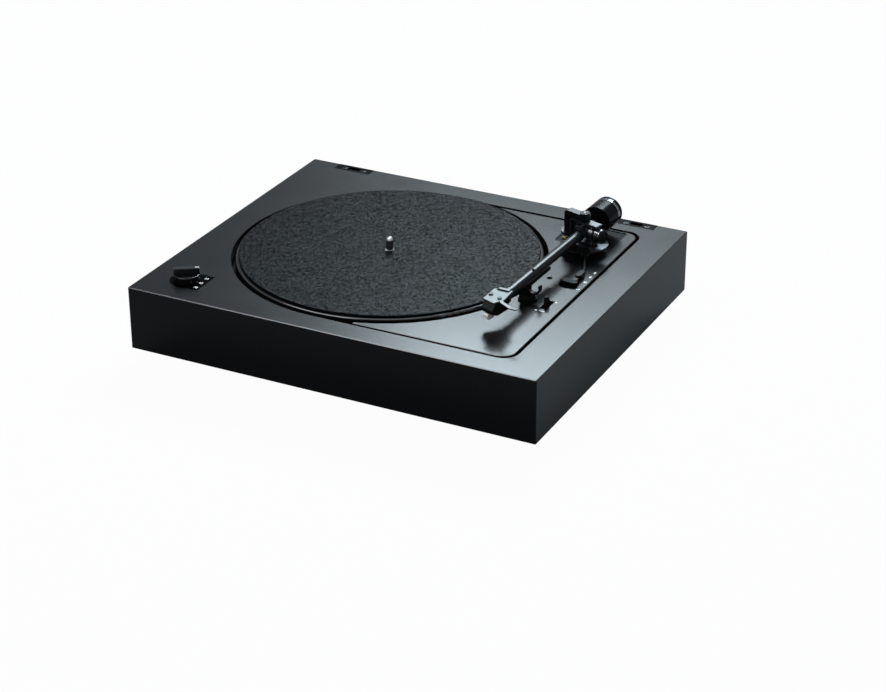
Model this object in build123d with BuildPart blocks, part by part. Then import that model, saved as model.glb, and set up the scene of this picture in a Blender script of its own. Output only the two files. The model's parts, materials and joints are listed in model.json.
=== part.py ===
from build123d import *
import os
from math import atan2, cos, degrees, radians, sin

# Belt-drive automatic record player with a floating pressed chassis.
# Frame: origin on the floor under the centre of the plinth, +X right, +Y back, +Z up, in mm.
os.makedirs("parts", exist_ok=True)

# ---------------------------------------------------------------- driving dimensions
# plinth
PLINTH_H = 64.5
FOOT_H = 13.5
WALL = 12.0
BACK_WALL = 16.0
DECK = 9.0
EDGE_ROUND = 0.7
COVER_T = 3.0
COVER_LAP = 3.0
SEAT_GAP = 0.2          # clearance round a piece let into another
BLOCK = 14.0            # corner glue block
FOOT_INSET = 58.0       # foot centre from the sides of the plinth
FOOT_R = 18.0
PAD_R = 13.0
PAD_T = 2.5
SCREW_R = 1.8
HEAD_R = 3.4

# platter and its bearing
PLATTER_R = 151.5
PLATTER_RISE = 1.9      # platter face above the deck
PLATTER_H = 15.0
WEB_T = 4.0
SHOULDER = 2.5
SKIRT_T = 6.0
HUB_R = 15.0
RIB_T = 2.5
RIB_COUNT = 12
MAT_INSET = 3.3         # mat edge inside the platter's rim
MAT_T = 2.2
SPINDLE_R = 3.575
SPINDLE_RISE = 13.5     # spindle tip above the mat
SEAT_R = 4.2            # collar at the spindle's foot, just above the mat
SEAT_RISE = 0.2
JOURNAL_R = 5.0
RUN_FIT = 0.03          # radial running clearance of a journal
BUSH_WALL = 2.5
HOUSING_R = 11.0
HOUSING_DEPTH = 28.0
FLANGE_R = 22.0
FLANGE_T = 3.0

# drive
RING_R = 82.0
RING_T = 4.0
PULLEY_R = 9.0
PULLEY_LIP = 2.0
BELT_SPAN = 30.0567     # between the rims of the drive ring and the pulley
MOTOR_BEARING = 135.0   # direction of the motor from the platter's axis
MOTOR_R = 21.0
MOTOR_L = 30.0
SHAFT_R = 1.5
BELT_W = 5.0
BELT_T = 0.7
BELT_GAP = 0.3

# automatic cam gear
MODULE = 1.5
PINION_TEETH = 16
CAM_TEETH = 60
BLANK_HALF = 20.0       # half angle of the toothless gap that faces the pinion at rest
GEAR_T = 2.2
STUD_R = 4.0
NUDGE = 8.0
PIN_R = 1.5

# pressed chassis
FLOAT_GAP = 3.8
WELL_GAP = 4.5          # platter to the raised deck
PLATE_T = 2.0
SHEET_T = 1.5
SHEET_DROP = 16.5       # underside of the base sheet below the deck
PLATE_CORNER = 12.3
FLANGE_OUT = 7.0
ARM_STRIP = 51.5        # deck beside the platter, for the arm and its controls
DECK_START = 41.5       # left end of the raised deck from the platter's axis
# free spaces between the chassis flange and the walls of the plinth
SPACE_LEFT = 12.5
SPACE_RIGHT = 20.5
SPACE_FRONT = 5.7
SPACE_BACK = 0.3
DECK_SPACE_FRONT = 9.5
DECK_SPACE_BACK = 7.4
MOUNT_R = 8.0
MOUNT_H = 18.0
MOUNT_SIDE = 7.5        # right mounts in from the deck's right edge
MOUNT_FRONT = 6.5
MOUNT_BACK = 6.6
MOUNT_RIM = 21.8        # left mounts in from the rim of the well
MOUNT_SPREAD = 77.5
TRAY_DEPTH = 0.8
TRAY_W = 59.6
TRAY_D = 47.4
TRAY_SIDE = 11.9        # tray in from the deck's right and rear edges
TRAY_REAR = 1.5

# tonearm
PIVOT_SIDE = 35.2       # pivot in from the deck's right and rear edges
PIVOT_REAR = 56.9
YOKE_TURN = -17.0       # turn of the gimbal about the vertical
ARM_TURN = -1.9         # turn of the tube from straight ahead
ARM_Z = 21.0            # tube axis above the deck
BASE_R = 24.0
BASE_H = 7.0
TUBE_R = 4.9
TUBE_WALL = 0.8
ARM_REACH = 170.0       # pivot to the rear edge of the headshell
GIMBAL_DEPTH = 9.0
GIMBAL_T = 1.8
GIMBAL_LEFT = -15.8
GIMBAL_RIGHT = 14.8
GIMBAL_LOW = 8.6
GIMBAL_TOP = 31.6
GIMBAL_LUG = 18.5
BLOCK_R = 6.0
BLOCK_HALF = 8.0
GIMBAL_PIN_R = 1.5
GIMBAL_PIN_FIT = 0.05
BARREL_R = 5.5
DIAL_R = 7.2
DIAL_IN = 15.1
DIAL_OUT = 24.0
STUB_R = 4.5
STUB_L = 50.0
WEIGHT_R = 15.0
WEIGHT_L = 29.5
WEIGHT_START = 25.5
WEIGHT_HUB_R = 8.0

# bracket over the gimbal
LEG_IN = 17.0
LEG_OUT = 23.3
LEG_W = 8.0
BEAM_LOW = 32.1
BEAM_TOP = 38.0
LOBE_R = 10.7
LOBE_TOP = 15.0
LOBE_T = 2.6
NUT_R = 5.0
NUT_T = 2.0

# headshell and pickup
SHELL_TOP = 28.0
SHELL_T = 1.6
CARTRIDGE_W = 15.0
STYLUS_Z = 7.0

# controls
SPEED_SIDE = 42.0       # knob in from the plinth's left and front sides
SPEED_FRONT = 39.5
SPEED_PLATE_R = 17.0
SPEED_PLATE_REACH = 21.1
SPEED_PLATE_D = 33.0
INLAY_T = 0.8
KNOB_R = 13.0
KNOB_DISC_H = 7.0
KNOB_H = 13.0
KNOB_BAR_W = 7.0
KNOB_TURN = 32.0
KNOB_SHAFT_R = 3.0
SELECTOR_SIDE = 16.3    # selector in from the deck's right edge
SELECTOR_AHEAD = 78.6   # and in front of the arm's pivot
DISH_R = 11.0
DISH_DEPTH = 3.0
BAR_W = 8.5
SLIDER_SIDE = 15.9      # slider in from the deck's right edge
SLIDER_AHEAD = 130.7    # and in front of the arm's pivot
SLOT_W = 7.4
SLOT_L = 20.0
SLOT_SHIFT = 1.0        # slot's middle behind the slider's
SLIDER_TRAVEL = 5.0
SLIDER_RISE = 9.0

# rest and cue lever
REST_BACK = 41.8        # rest behind the headshell's rear edge
CLIP_R = 5.4
CLIP_T = 2.0
CLIP_W = 5.0
CLIP_SIDE = 9.5
CLIP_Z = 15.0
HINGE_Z = 10.4
CUE_ASIDE = 10.2        # lever's hinge to the right of the pivot
CUE_AHEAD = 21.2        # and in front of it
LIFT_R0 = 18.0
LIFT_R1 = 23.5
LIFT_Z = 11.2
LIFT_T = 2.0

# dust cover hinge sockets and rear connections
SOCKET_INSET = 32.0     # socket in from the plinth's side
SOCKET_W = 41.0
SOCKET_D = 13.0
SOCKET_H = 22.0
TONGUE_W = 13.0
TONGUE_T = 6.0
TONGUE_D = 16.0
HINGE_SCREW_SPAN = 23.0
PANEL_INSET = 115.0     # panel's middle from the plinth's right side
PANEL_Z = 40.0
PANEL_W = 96.0
PANEL_H = 44.0
PANEL_T = 2.0
BAY_W = 84.0
BAY_H = 32.0
BOARD_W = 90.0
BOARD_D = 56.0
BOARD_SHIFT = 5.0
BOARD_INSET = 52.0      # board's middle in front of the back wall
STANDOFF_H = 6.0
PHONO_R = 4.15
PHONO_FIT = 0.02
PHONO_SPACING = 14.0

# ---------------------------------------------------------------- derived places
# The plinth is built round the platter: walls, free spaces, the chassis flange and the arm's strip of deck.
WIDTH = (
    2 * (WALL + FLANGE_OUT + PLATTER_R) + SPACE_LEFT + WELL_GAP + ARM_STRIP + SPACE_RIGHT
)
DEPTH = WALL + BACK_WALL + SPACE_FRONT + SPACE_BACK + 2 * (FLANGE_OUT + WELL_GAP + PLATTER_R)
RIGHT = WIDTH / 2
BACK = DEPTH / 2
PLATTER_X = WALL + SPACE_LEFT + FLANGE_OUT + WELL_GAP + PLATTER_R - RIGHT
PLATTER_Y = WALL + SPACE_FRONT + FLANGE_OUT + WELL_GAP + PLATTER_R - BACK
WELL_R = PLATTER_R + WELL_GAP
MAT_R = PLATTER_R - MAT_INSET
FOOT_X = RIGHT - FOOT_INSET
FOOT_Y = BACK - FOOT_INSET
MOTOR_DISTANCE = RING_R + PULLEY_R + BELT_SPAN
MOTOR_X = PLATTER_X + MOTOR_DISTANCE * cos(radians(MOTOR_BEARING))
MOTOR_Y = PLATTER_Y + MOTOR_DISTANCE * sin(radians(MOTOR_BEARING))
PLATE_LEFT = PLATTER_X + DECK_START
PLATE_RIGHT = PLATTER_X + PLATTER_R + ARM_STRIP
PLATE_FRONT = WALL + DECK_SPACE_FRONT + FLANGE_OUT - BACK
PLATE_BACK = BACK - BACK_WALL - DECK_SPACE_BACK - FLANGE_OUT
TRAY_X = PLATE_RIGHT - TRAY_SIDE - TRAY_W / 2
TRAY_Y = PLATE_BACK - TRAY_REAR - TRAY_D / 2
PIVOT_X = PLATE_RIGHT - PIVOT_SIDE
PIVOT_Y = PLATE_BACK - PIVOT_REAR
SPEED_X = SPEED_SIDE - RIGHT
SPEED_Y = SPEED_FRONT - BACK
SELECTOR_X = PLATE_RIGHT - SELECTOR_SIDE
SELECTOR_Y = PIVOT_Y - SELECTOR_AHEAD
SLIDER_X = PLATE_RIGHT - SLIDER_SIDE
SLIDER_Y = PIVOT_Y - SLIDER_AHEAD
SLOT_MID = (SLIDER_X, SLIDER_Y + SLOT_SHIFT)
REST_Y = PIVOT_Y - ARM_REACH + REST_BACK
CUE_X = PIVOT_X + CUE_ASIDE
CUE_Y = PIVOT_Y - CUE_AHEAD
SOCKET_X = RIGHT - SOCKET_INSET - SOCKET_W / 2
SOCKET_Y = BACK - SOCKET_D / 2
PANEL_X = RIGHT - PANEL_INSET
TOP = FOOT_H + PLINTH_H
UNDER_DECK = TOP - DECK
SHEET_LOW = TOP - SHEET_DROP
SHEET_TOP = SHEET_LOW + SHEET_T
CAVITY_X = WIDTH / 2 - WALL
CAVITY_FRONT = -(DEPTH / 2 - WALL)
CAVITY_BACK = DEPTH / 2 - BACK_WALL
CAVITY_Y = (CAVITY_FRONT + CAVITY_BACK) / 2
CAVITY_D = CAVITY_BACK - CAVITY_FRONT
BOARD_X = PANEL_X - BOARD_SHIFT
BOARD_Y = CAVITY_BACK - BOARD_INSET
COVER_TOP = FOOT_H + COVER_T
PLATTER_TOP = TOP + PLATTER_RISE
PLATTER_LOW = PLATTER_TOP - PLATTER_H
WEB_LOW = PLATTER_TOP - WEB_T
MAT_TOP = PLATTER_TOP + MAT_T
RING_LOW = WEB_LOW - 9.0
BELT_LOW = RING_LOW + 2.5
GEAR_LOW = SHEET_TOP + 0.8
GEAR_TOP = GEAR_LOW + GEAR_T
HUB_LOW = GEAR_TOP + 1.5
CAM_DISTANCE = MODULE * (PINION_TEETH + CAM_TEETH) / 2
ARM_AIM = atan2(PIVOT_Y - PLATTER_Y, PIVOT_X - PLATTER_X)
CAM_X = PLATTER_X + CAM_DISTANCE * cos(ARM_AIM)
CAM_Y = PLATTER_Y + CAM_DISTANCE * sin(ARM_AIM)
PIN_REACH = SLIDER_TRAVEL / sin(radians(NUDGE))
LINK_LOW = SHEET_LOW - 3.0
LINK_T = 2.0
MOTOR_TOP = SHEET_LOW - 3.0
MOUNT_LOW = SHEET_LOW - MOUNT_H
BASE_TOP = TOP + BASE_H
AXIS_Z = TOP + ARM_Z
REST_X = PIVOT_X + (REST_Y - PIVOT_Y) * sin(radians(-ARM_TURN))

AT_PLATTER = (PLATTER_X, PLATTER_Y)
AT_PIVOT = (PIVOT_X, PIVOT_Y)
AT_MOTOR = (MOTOR_X, MOTOR_Y)
AT_CAM = (CAM_X, CAM_Y)
AT_SELECTOR = (SELECTOR_X, SELECTOR_Y)

FEET_PLACES = [(x, y) for x in (-FOOT_X, FOOT_X) for y in (-FOOT_Y, FOOT_Y)]
MOUNT_PLACES = [
    (PLATE_RIGHT - MOUNT_SIDE, PLATE_FRONT + MOUNT_FRONT),
    (PLATE_RIGHT - MOUNT_SIDE, PLATE_BACK - MOUNT_BACK),
    (PLATTER_X - WELL_R + MOUNT_RIM, PLATTER_Y + MOUNT_SPREAD),
    (PLATTER_X - WELL_R + MOUNT_RIM, PLATTER_Y - MOUNT_SPREAD),
]
COVER_SCREW_PLACES = [
    (x, y)
    for x in (-CAVITY_X + BLOCK / 2, CAVITY_X - BLOCK / 2)
    for y in (CAVITY_FRONT + BLOCK / 2, CAVITY_BACK - BLOCK / 2)
]


def level(height):
    """Horizontal plane at a height above the floor."""
    return Plane.XY.offset(height)


def level_at(place, height, turn=0.0):
    """Horizontal plane with its origin over a place, turned about the vertical."""
    heading = (cos(radians(turn)), sin(radians(turn)), 0)
    return Plane(origin=(place[0], place[1], height), x_dir=heading, z_dir=(0, 0, 1))


# The yoke plane stands across the gimbal: its x runs along the tilt axis, its y is up.
YOKE_AXIS = (cos(radians(YOKE_TURN)), sin(radians(YOKE_TURN)), 0)
YOKE_FRONT = (sin(radians(YOKE_TURN)), -cos(radians(YOKE_TURN)), 0)
YOKE = Plane(origin=(PIVOT_X, PIVOT_Y, TOP), x_dir=YOKE_AXIS, z_dir=YOKE_FRONT)
# Section planes along the tilt axis and along the tube.
TILT = Plane(origin=(PIVOT_X, PIVOT_Y, AXIS_Z), x_dir=YOKE_FRONT, z_dir=YOKE_AXIS)
AHEAD = (sin(radians(ARM_TURN)), -cos(radians(ARM_TURN)), 0)
ASIDE = (cos(radians(ARM_TURN)), sin(radians(ARM_TURN)), 0)
TUBE = Plane(origin=(PIVOT_X, PIVOT_Y, AXIS_Z), x_dir=ASIDE, z_dir=AHEAD)


def deck_outline(grow, left):
    """Plan of the floating deck from its left edge, grown by a margin on the other sides."""
    with BuildSketch() as outline:
        with Locations(((left + PLATE_RIGHT + grow) / 2, (PLATE_FRONT + PLATE_BACK) / 2)):
            Rectangle(PLATE_RIGHT + grow - left, PLATE_BACK - PLATE_FRONT + 2 * grow)
        fillet(outline.vertices().group_by(Axis.X)[-1], PLATE_CORNER + grow)
    return outline.sketch


def gear_profile(teeth, gap_half=0.0):
    """Spur gear outline with straight-flanked teeth; a gap of half angle gap_half may be toothless."""
    pitch_r = MODULE * teeth / 2
    root_r = pitch_r - 1.2 * MODULE
    tip_r = pitch_r + MODULE
    step = 360.0 / teeth
    with BuildSketch() as profile:
        Circle(root_r)
        with BuildSketch(mode=Mode.PRIVATE) as tooth:
            with BuildLine():
                Polyline(
                    (root_r - 0.5, -0.30 * step * radians(1) * pitch_r),
                    (pitch_r, -0.23 * step * radians(1) * pitch_r),
                    (tip_r, -0.11 * step * radians(1) * pitch_r),
                    (tip_r, 0.11 * step * radians(1) * pitch_r),
                    (pitch_r, 0.23 * step * radians(1) * pitch_r),
                    (root_r - 0.5, 0.30 * step * radians(1) * pitch_r),
                    close=True,
                )
            make_face()
        for index in range(teeth):
            turn = (index + 0.5) * step
            if min(turn, 360.0 - turn) > gap_half:
                add(tooth.sketch, rotation=turn)
    return profile.sketch


# ================================================================ plinth and its fittings
with BuildPart() as plinth:
    with BuildSketch(level(FOOT_H)):
        Rectangle(WIDTH, DEPTH)
    extrude(amount=PLINTH_H)
    chamfer(plinth.edges().filter_by(Axis.Z), EDGE_ROUND)
    chamfer(plinth.faces().sort_by(Axis.Z)[-1].edges(), EDGE_ROUND)
    # hollow inside, open below, with a ledge for the bottom cover
    with BuildSketch(level(FOOT_H)):
        with Locations((0, CAVITY_Y)):
            Rectangle(2 * CAVITY_X, CAVITY_D)
    extrude(amount=PLINTH_H - DECK, mode=Mode.SUBTRACT)
    with BuildSketch(level(FOOT_H)):
        with Locations((0, CAVITY_Y)):
            Rectangle(2 * (CAVITY_X + COVER_LAP), CAVITY_D + 2 * COVER_LAP)
    extrude(amount=COVER_T, mode=Mode.SUBTRACT)
    # glue blocks in the corners and stands for the chassis mounts
    with BuildSketch(level(COVER_TOP)):
        with Locations(*COVER_SCREW_PLACES):
            Rectangle(BLOCK, BLOCK)
    extrude(amount=UNDER_DECK - COVER_TOP)
    with BuildSketch(level(COVER_TOP)):
        for x, y in MOUNT_PLACES:
            wall_x = CAVITY_X if x > 0 else -CAVITY_X
            with Locations(((x + wall_x) / 2, y)):
                Rectangle(abs(wall_x - x) + 2 * MOUNT_R + 2, 2 * MOUNT_R + 4)
    extrude(amount=MOUNT_LOW - COVER_TOP)
    with BuildSketch(level(FOOT_H)):
        with BuildSketch(mode=Mode.PRIVATE) as outside:
            Rectangle(2 * WIDTH, 2 * DEPTH)
            Rectangle(WIDTH, DEPTH, mode=Mode.SUBTRACT)
        add(outside.sketch)
    extrude(amount=PLINTH_H, mode=Mode.SUBTRACT)
    # opening for the platter and the floating deck
    with BuildSketch(level(UNDER_DECK)):
        with Locations(AT_PLATTER):
            Circle(WELL_R)
        add(deck_outline(FLOAT_GAP, PLATTER_X))
    extrude(amount=DECK, mode=Mode.SUBTRACT)
    # shallow seat of the speed label plate, with the hole of the knob shaft
    with BuildSketch(level(TOP - INLAY_T)) as speed_seat:
        with Locations((SPEED_X, SPEED_Y)):
            Circle(SPEED_PLATE_R + SEAT_GAP)
        with Locations((SPEED_X + SPEED_PLATE_REACH / 2, SPEED_Y)):
            Rectangle(SPEED_PLATE_REACH + 2 * SEAT_GAP, SPEED_PLATE_D + 2 * SEAT_GAP)
    extrude(amount=INLAY_T, mode=Mode.SUBTRACT)
    with Locations((SPEED_X, SPEED_Y, TOP)):
        Hole(KNOB_SHAFT_R + 0.3, depth=DECK + INLAY_T)
    # pockets of the dust cover hinge sockets
    with BuildSketch(level(TOP - SOCKET_H)):
        for side in (-1, 1):
            with Locations((side * SOCKET_X, SOCKET_Y)):
                Rectangle(SOCKET_W + 2 * SEAT_GAP, SOCKET_D + 2 * SEAT_GAP)
    extrude(amount=SOCKET_H, mode=Mode.SUBTRACT)
    # rear connector bay through the back wall
    with BuildSketch(Plane.XZ.offset(-DEPTH / 2)):
        with Locations((PANEL_X, PANEL_Z)):
            RectangleRounded(BAY_W, BAY_H, 3)
    extrude(amount=BACK_WALL, mode=Mode.SUBTRACT)
    # screw holes of the bottom cover
    with BuildSketch(level(COVER_TOP)):
        with Locations(*COVER_SCREW_PLACES):
            Circle(SCREW_R)
    extrude(amount=14, mode=Mode.SUBTRACT)
plinth.part.label = "plinth"
export_step(plinth.part, "parts/plinth.step")

with BuildPart() as bottom_cover:
    with BuildSketch(level(FOOT_H)):
        with Locations((0, CAVITY_Y)):
            Rectangle(
                2 * (CAVITY_X + COVER_LAP - SEAT_GAP), CAVITY_D + 2 * (COVER_LAP - SEAT_GAP)
            )
        # vent slots under the motor and under the board
        for centre in (AT_MOTOR, (BOARD_X, BOARD_Y - 2)):
            with Locations(centre):
                with GridLocations(9, 0, 5, 1):
                    SlotOverall(40, 4, rotation=90, mode=Mode.SUBTRACT)
        with Locations(*COVER_SCREW_PLACES):
            Circle(SCREW_R + 0.2, mode=Mode.SUBTRACT)
    extrude(amount=COVER_T)
bottom_cover.part.label = "bottom_cover"
export_step(bottom_cover.part, "parts/bottom_cover.step")

with BuildPart() as cover_screws:
    with BuildSketch(level(FOOT_H - 2)):
        with Locations(*COVER_SCREW_PLACES):
            Circle(HEAD_R)
    extrude(amount=2)
    with BuildSketch(level(FOOT_H)):
        with Locations(*COVER_SCREW_PLACES):
            Circle(SCREW_R - 0.1)
    extrude(amount=COVER_T + 12)
    with BuildSketch(level(FOOT_H - 2)):
        with Locations(*COVER_SCREW_PLACES):
            Rectangle(4.2, 0.8)
            Rectangle(0.8, 4.2)
    extrude(amount=1, mode=Mode.SUBTRACT)
cover_screws.part.label = "cover_screws"
export_step(cover_screws.part, "parts/cover_screws.step")

with BuildPart() as one_foot:
    with BuildSketch(Plane.XZ):
        with BuildLine():
            Polyline(
                (0, PAD_T - 1),
                (PAD_R + SEAT_GAP, PAD_T - 1),
                (PAD_R + SEAT_GAP, 1),
                (FOOT_R - 2, 1),
                (FOOT_R, FOOT_H - 3),
                (FOOT_R, FOOT_H),
                (0, FOOT_H),
                close=True,
            )
        make_face()
    revolve(axis=Axis.Z)

with BuildPart() as feet:
    with Locations(*FEET_PLACES):
        add(one_foot.part)
feet.part.label = "feet"
export_step(feet.part, "parts/feet.step")

with BuildPart() as foot_pads:
    with BuildSketch():
        with Locations(*FEET_PLACES):
            Circle(PAD_R)
    extrude(amount=PAD_T - 1)
    with BuildSketch():
        with Locations(*FEET_PLACES):
            Circle(4)
    extrude(amount=0.6, mode=Mode.SUBTRACT)
foot_pads.part.label = "foot_pads"
export_step(foot_pads.part, "parts/foot_pads.step")

for side, name in ((-1, "hinge_socket_left"), (1, "hinge_socket_right")):
    with BuildPart() as hinge_socket:
        with BuildSketch(level(TOP - SOCKET_H)):
            with Locations((side * SOCKET_X, SOCKET_Y)):
                Rectangle(SOCKET_W, SOCKET_D)
        extrude(amount=SOCKET_H)
        chamfer(hinge_socket.faces().sort_by(Axis.Z)[-1].edges(), 0.4)
        with BuildSketch(level(TOP - TONGUE_D)):
            with Locations((side * SOCKET_X, SOCKET_Y)):
                Rectangle(TONGUE_W, TONGUE_T)
        extrude(amount=TONGUE_D, mode=Mode.SUBTRACT)
        for end in (-1, 1):
            with Locations((side * SOCKET_X + end * HINGE_SCREW_SPAN / 2, SOCKET_Y, TOP)):
                CounterSinkHole(SCREW_R, HEAD_R, depth=SOCKET_H)
    hinge_socket.part.label = name
    export_step(hinge_socket.part, f"parts/{name}.step")

with BuildPart() as one_hinge_screw:
    with BuildSketch(Plane.XZ):
        with BuildLine():
            Polyline(
                (0, TOP - SOCKET_H),
                (SCREW_R - 0.1, TOP - SOCKET_H),
                (SCREW_R - 0.1, TOP - 1.9),
                (HEAD_R - 0.5, TOP - 0.5),
                (0, TOP - 0.2),
                close=True,
            )
        make_face()
    revolve(axis=Axis.Z)
    with BuildSketch(level(TOP - 1)):
        Rectangle(4, 0.8)
        Rectangle(0.8, 4)
    extrude(amount=1, mode=Mode.SUBTRACT)

with BuildPart() as hinge_screws:
    for side in (-1, 1):
        with Locations((side * SOCKET_X, SOCKET_Y)):
            with GridLocations(HINGE_SCREW_SPAN, 0, 2, 1):
                add(one_hinge_screw.part)
hinge_screws.part.label = "hinge_screws"
export_step(hinge_screws.part, "parts/hinge_screws.step")

# rear connector panel, screwed to the inside of the back wall
PHONO_X = PANEL_X - 26.0
GROUND_X = PANEL_X - 1.0
INLET_X = PANEL_X + 24.0
INLET_R = 5.5
PANEL_BACK = Plane.XZ.offset(-CAVITY_BACK)
PANEL_SCREWS = [
    (PANEL_X + sx * (PANEL_W / 2 - 3.2), PANEL_Z + sz * (PANEL_H / 2 - 3.2))
    for sx in (-1, 1)
    for sz in (-1, 1)
]
PANEL_CORNER = 2.0
GROUND_R = 1.9
PANEL_SCREW_R = SCREW_R - 0.3
PANEL_HEAD_R = 2.6
PANEL_HEAD_T = 1.6
SOCKET_BEHIND = 9.0     # sockets behind and in front of the panel
SOCKET_OUT = 6.0
SOCKET_BORE_R = 1.6
LOCKNUT_R = 5.6
LOCKNUT_T = 2.0
with BuildPart() as connector_panel:
    with BuildSketch(PANEL_BACK):
        with Locations((PANEL_X, PANEL_Z)):
            RectangleRounded(PANEL_W, PANEL_H, PANEL_CORNER)
        with Locations((PHONO_X, PANEL_Z)):
            with GridLocations(PHONO_SPACING, 0, 2, 1):
                Circle(PHONO_R + PHONO_FIT, mode=Mode.SUBTRACT)
        with Locations((GROUND_X, PANEL_Z)):
            Circle(GROUND_R + 0.1, mode=Mode.SUBTRACT)
        with Locations((INLET_X, PANEL_Z)):
            Circle(INLET_R, mode=Mode.SUBTRACT)
        with Locations(*PANEL_SCREWS):
            Circle(PANEL_SCREW_R, mode=Mode.SUBTRACT)
    extrude(amount=PANEL_T)
connector_panel.part.label = "connector_panel"
export_step(connector_panel.part, "parts/connector_panel.step")

with BuildPart() as panel_screws:
    with BuildSketch(PANEL_BACK.offset(PANEL_T)):
        with Locations(*PANEL_SCREWS):
            Circle(PANEL_HEAD_R)
    extrude(amount=PANEL_HEAD_T)
    with BuildSketch(PANEL_BACK.offset(PANEL_T)):
        with Locations(*PANEL_SCREWS):
            Circle(PANEL_SCREW_R - 0.1)
    extrude(amount=-PANEL_T)
panel_screws.part.label = "panel_screws"
export_step(panel_screws.part, "parts/panel_screws.step")

with BuildPart() as phono_sockets:
    with BuildSketch(PANEL_BACK.offset(-SOCKET_BEHIND)):
        with Locations((PHONO_X, PANEL_Z)):
            with GridLocations(PHONO_SPACING, 0, 2, 1):
                Circle(PHONO_R)
                Circle(SOCKET_BORE_R, mode=Mode.SUBTRACT)
    extrude(amount=SOCKET_BEHIND + PANEL_T + SOCKET_OUT)
    with BuildSketch(PANEL_BACK.offset(-LOCKNUT_T)):
        with Locations((PHONO_X, PANEL_Z)):
            with GridLocations(PHONO_SPACING, 0, 2, 1):
                RegularPolygon(LOCKNUT_R, 6)
                Circle(PHONO_R, mode=Mode.SUBTRACT)
    extrude(amount=LOCKNUT_T)
phono_sockets.part.label = "phono_sockets"
export_step(phono_sockets.part, "parts/phono_sockets.step")

GROUND_OUT = 4.0
GROUND_NUT_R = 4.5
GROUND_NUT_T = 6.0
WASHER_R = 4.0
with BuildPart() as ground_terminal:
    with BuildSketch(PANEL_BACK.offset(-SOCKET_BEHIND)):
        with Locations((GROUND_X, PANEL_Z)):
            Circle(GROUND_R)
    extrude(amount=SOCKET_BEHIND + PANEL_T + GROUND_OUT)
    with BuildSketch(PANEL_BACK.offset(-LOCKNUT_T - GROUND_NUT_T)):
        with Locations((GROUND_X, PANEL_Z)):
            RegularPolygon(GROUND_NUT_R, 12)
    extrude(amount=GROUND_NUT_T)
    with BuildSketch(PANEL_BACK):
        with Locations((GROUND_X, PANEL_Z)):
            Circle(WASHER_R)
    extrude(amount=-LOCKNUT_T)
ground_terminal.part.label = "ground_terminal"
export_step(ground_terminal.part, "parts/ground_terminal.step")

INLET_LIP = 3.0
INLET_BORE_R = 3.2
INLET_PIN_R = 1.0
INLET_BODY = (14.0, 12.0, 9.0)
with BuildPart() as dc_inlet:
    with BuildSketch(PANEL_BACK.offset(-INLET_LIP)):
        with Locations((INLET_X, PANEL_Z)):
            Circle(INLET_R - 0.1)
            Circle(INLET_BORE_R, mode=Mode.SUBTRACT)
    extrude(amount=INLET_LIP + PANEL_T)
    with BuildSketch(PANEL_BACK.offset(PANEL_T)):
        with Locations((INLET_X, PANEL_Z)):
            Rectangle(INLET_BODY[0], INLET_BODY[1])
    extrude(amount=INLET_BODY[2])
    with BuildSketch(PANEL_BACK.offset(1 - INLET_LIP)):
        with Locations((INLET_X, PANEL_Z)):
            Circle(INLET_PIN_R)
    extrude(amount=INLET_LIP - 1 + PANEL_T)
dc_inlet.part.label = "dc_inlet"
export_step(dc_inlet.part, "parts/dc_inlet.step")

# supply and muting board on four standoffs over the bottom cover
BOARD_T = 1.6
STANDOFF_R = 3.0
STANDOFF_IN = 5.0       # standoffs in from the board's edges
RELAY = (26.0, 24.0)
CONNECTOR = (14.0, 5.0)
RELAY_H = 12.0
CAPACITOR_R = 5.0
CAPACITOR_H = 9.0
CAPACITOR_PITCH = 16.0
BOARD_TOP = COVER_TOP + STANDOFF_H + BOARD_T
with BuildPart() as connection_board:
    with BuildSketch(level(COVER_TOP)):
        with Locations((BOARD_X, BOARD_Y)):
            with GridLocations(BOARD_W - 2 * STANDOFF_IN, BOARD_D - 2 * STANDOFF_IN, 2, 2):
                Circle(STANDOFF_R)
    extrude(amount=STANDOFF_H)
    with BuildSketch(level(COVER_TOP + STANDOFF_H)):
        with Locations((BOARD_X, BOARD_Y)):
            Rectangle(BOARD_W, BOARD_D)
    extrude(amount=BOARD_T)
    with BuildSketch(level(BOARD_TOP)):
        with Locations((BOARD_X - 24, BOARD_Y + 4)):
            Rectangle(*RELAY)
        with Locations((BOARD_X + 18, BOARD_Y + 12)):
            Rectangle(*CONNECTOR)
    extrude(amount=RELAY_H)
    with BuildSketch(level(BOARD_TOP)):
        with Locations((BOARD_X + 10, BOARD_Y - 12)):
            with GridLocations(CAPACITOR_PITCH, 0, 3, 1):
                Circle(CAPACITOR_R)
    extrude(amount=CAPACITOR_H)
connection_board.part.label = "connection_board"
export_step(connection_board.part, "parts/connection_board.step")

# ---------------------------------------------------------------- speed control
with BuildPart() as speed_plate:
    with BuildSketch(level(TOP - INLAY_T)):
        with Locations((SPEED_X, SPEED_Y)):
            Circle(SPEED_PLATE_R)
        with Locations((SPEED_X + SPEED_PLATE_REACH / 2, SPEED_Y)):
            Rectangle(SPEED_PLATE_REACH, SPEED_PLATE_D)
        with Locations((SPEED_X, SPEED_Y)):
            Circle(KNOB_SHAFT_R + 0.3, mode=Mode.SUBTRACT)
    extrude(amount=INLAY_T)
speed_plate.part.label = "speed_plate"
export_step(speed_plate.part, "parts/speed_plate.step")

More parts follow.
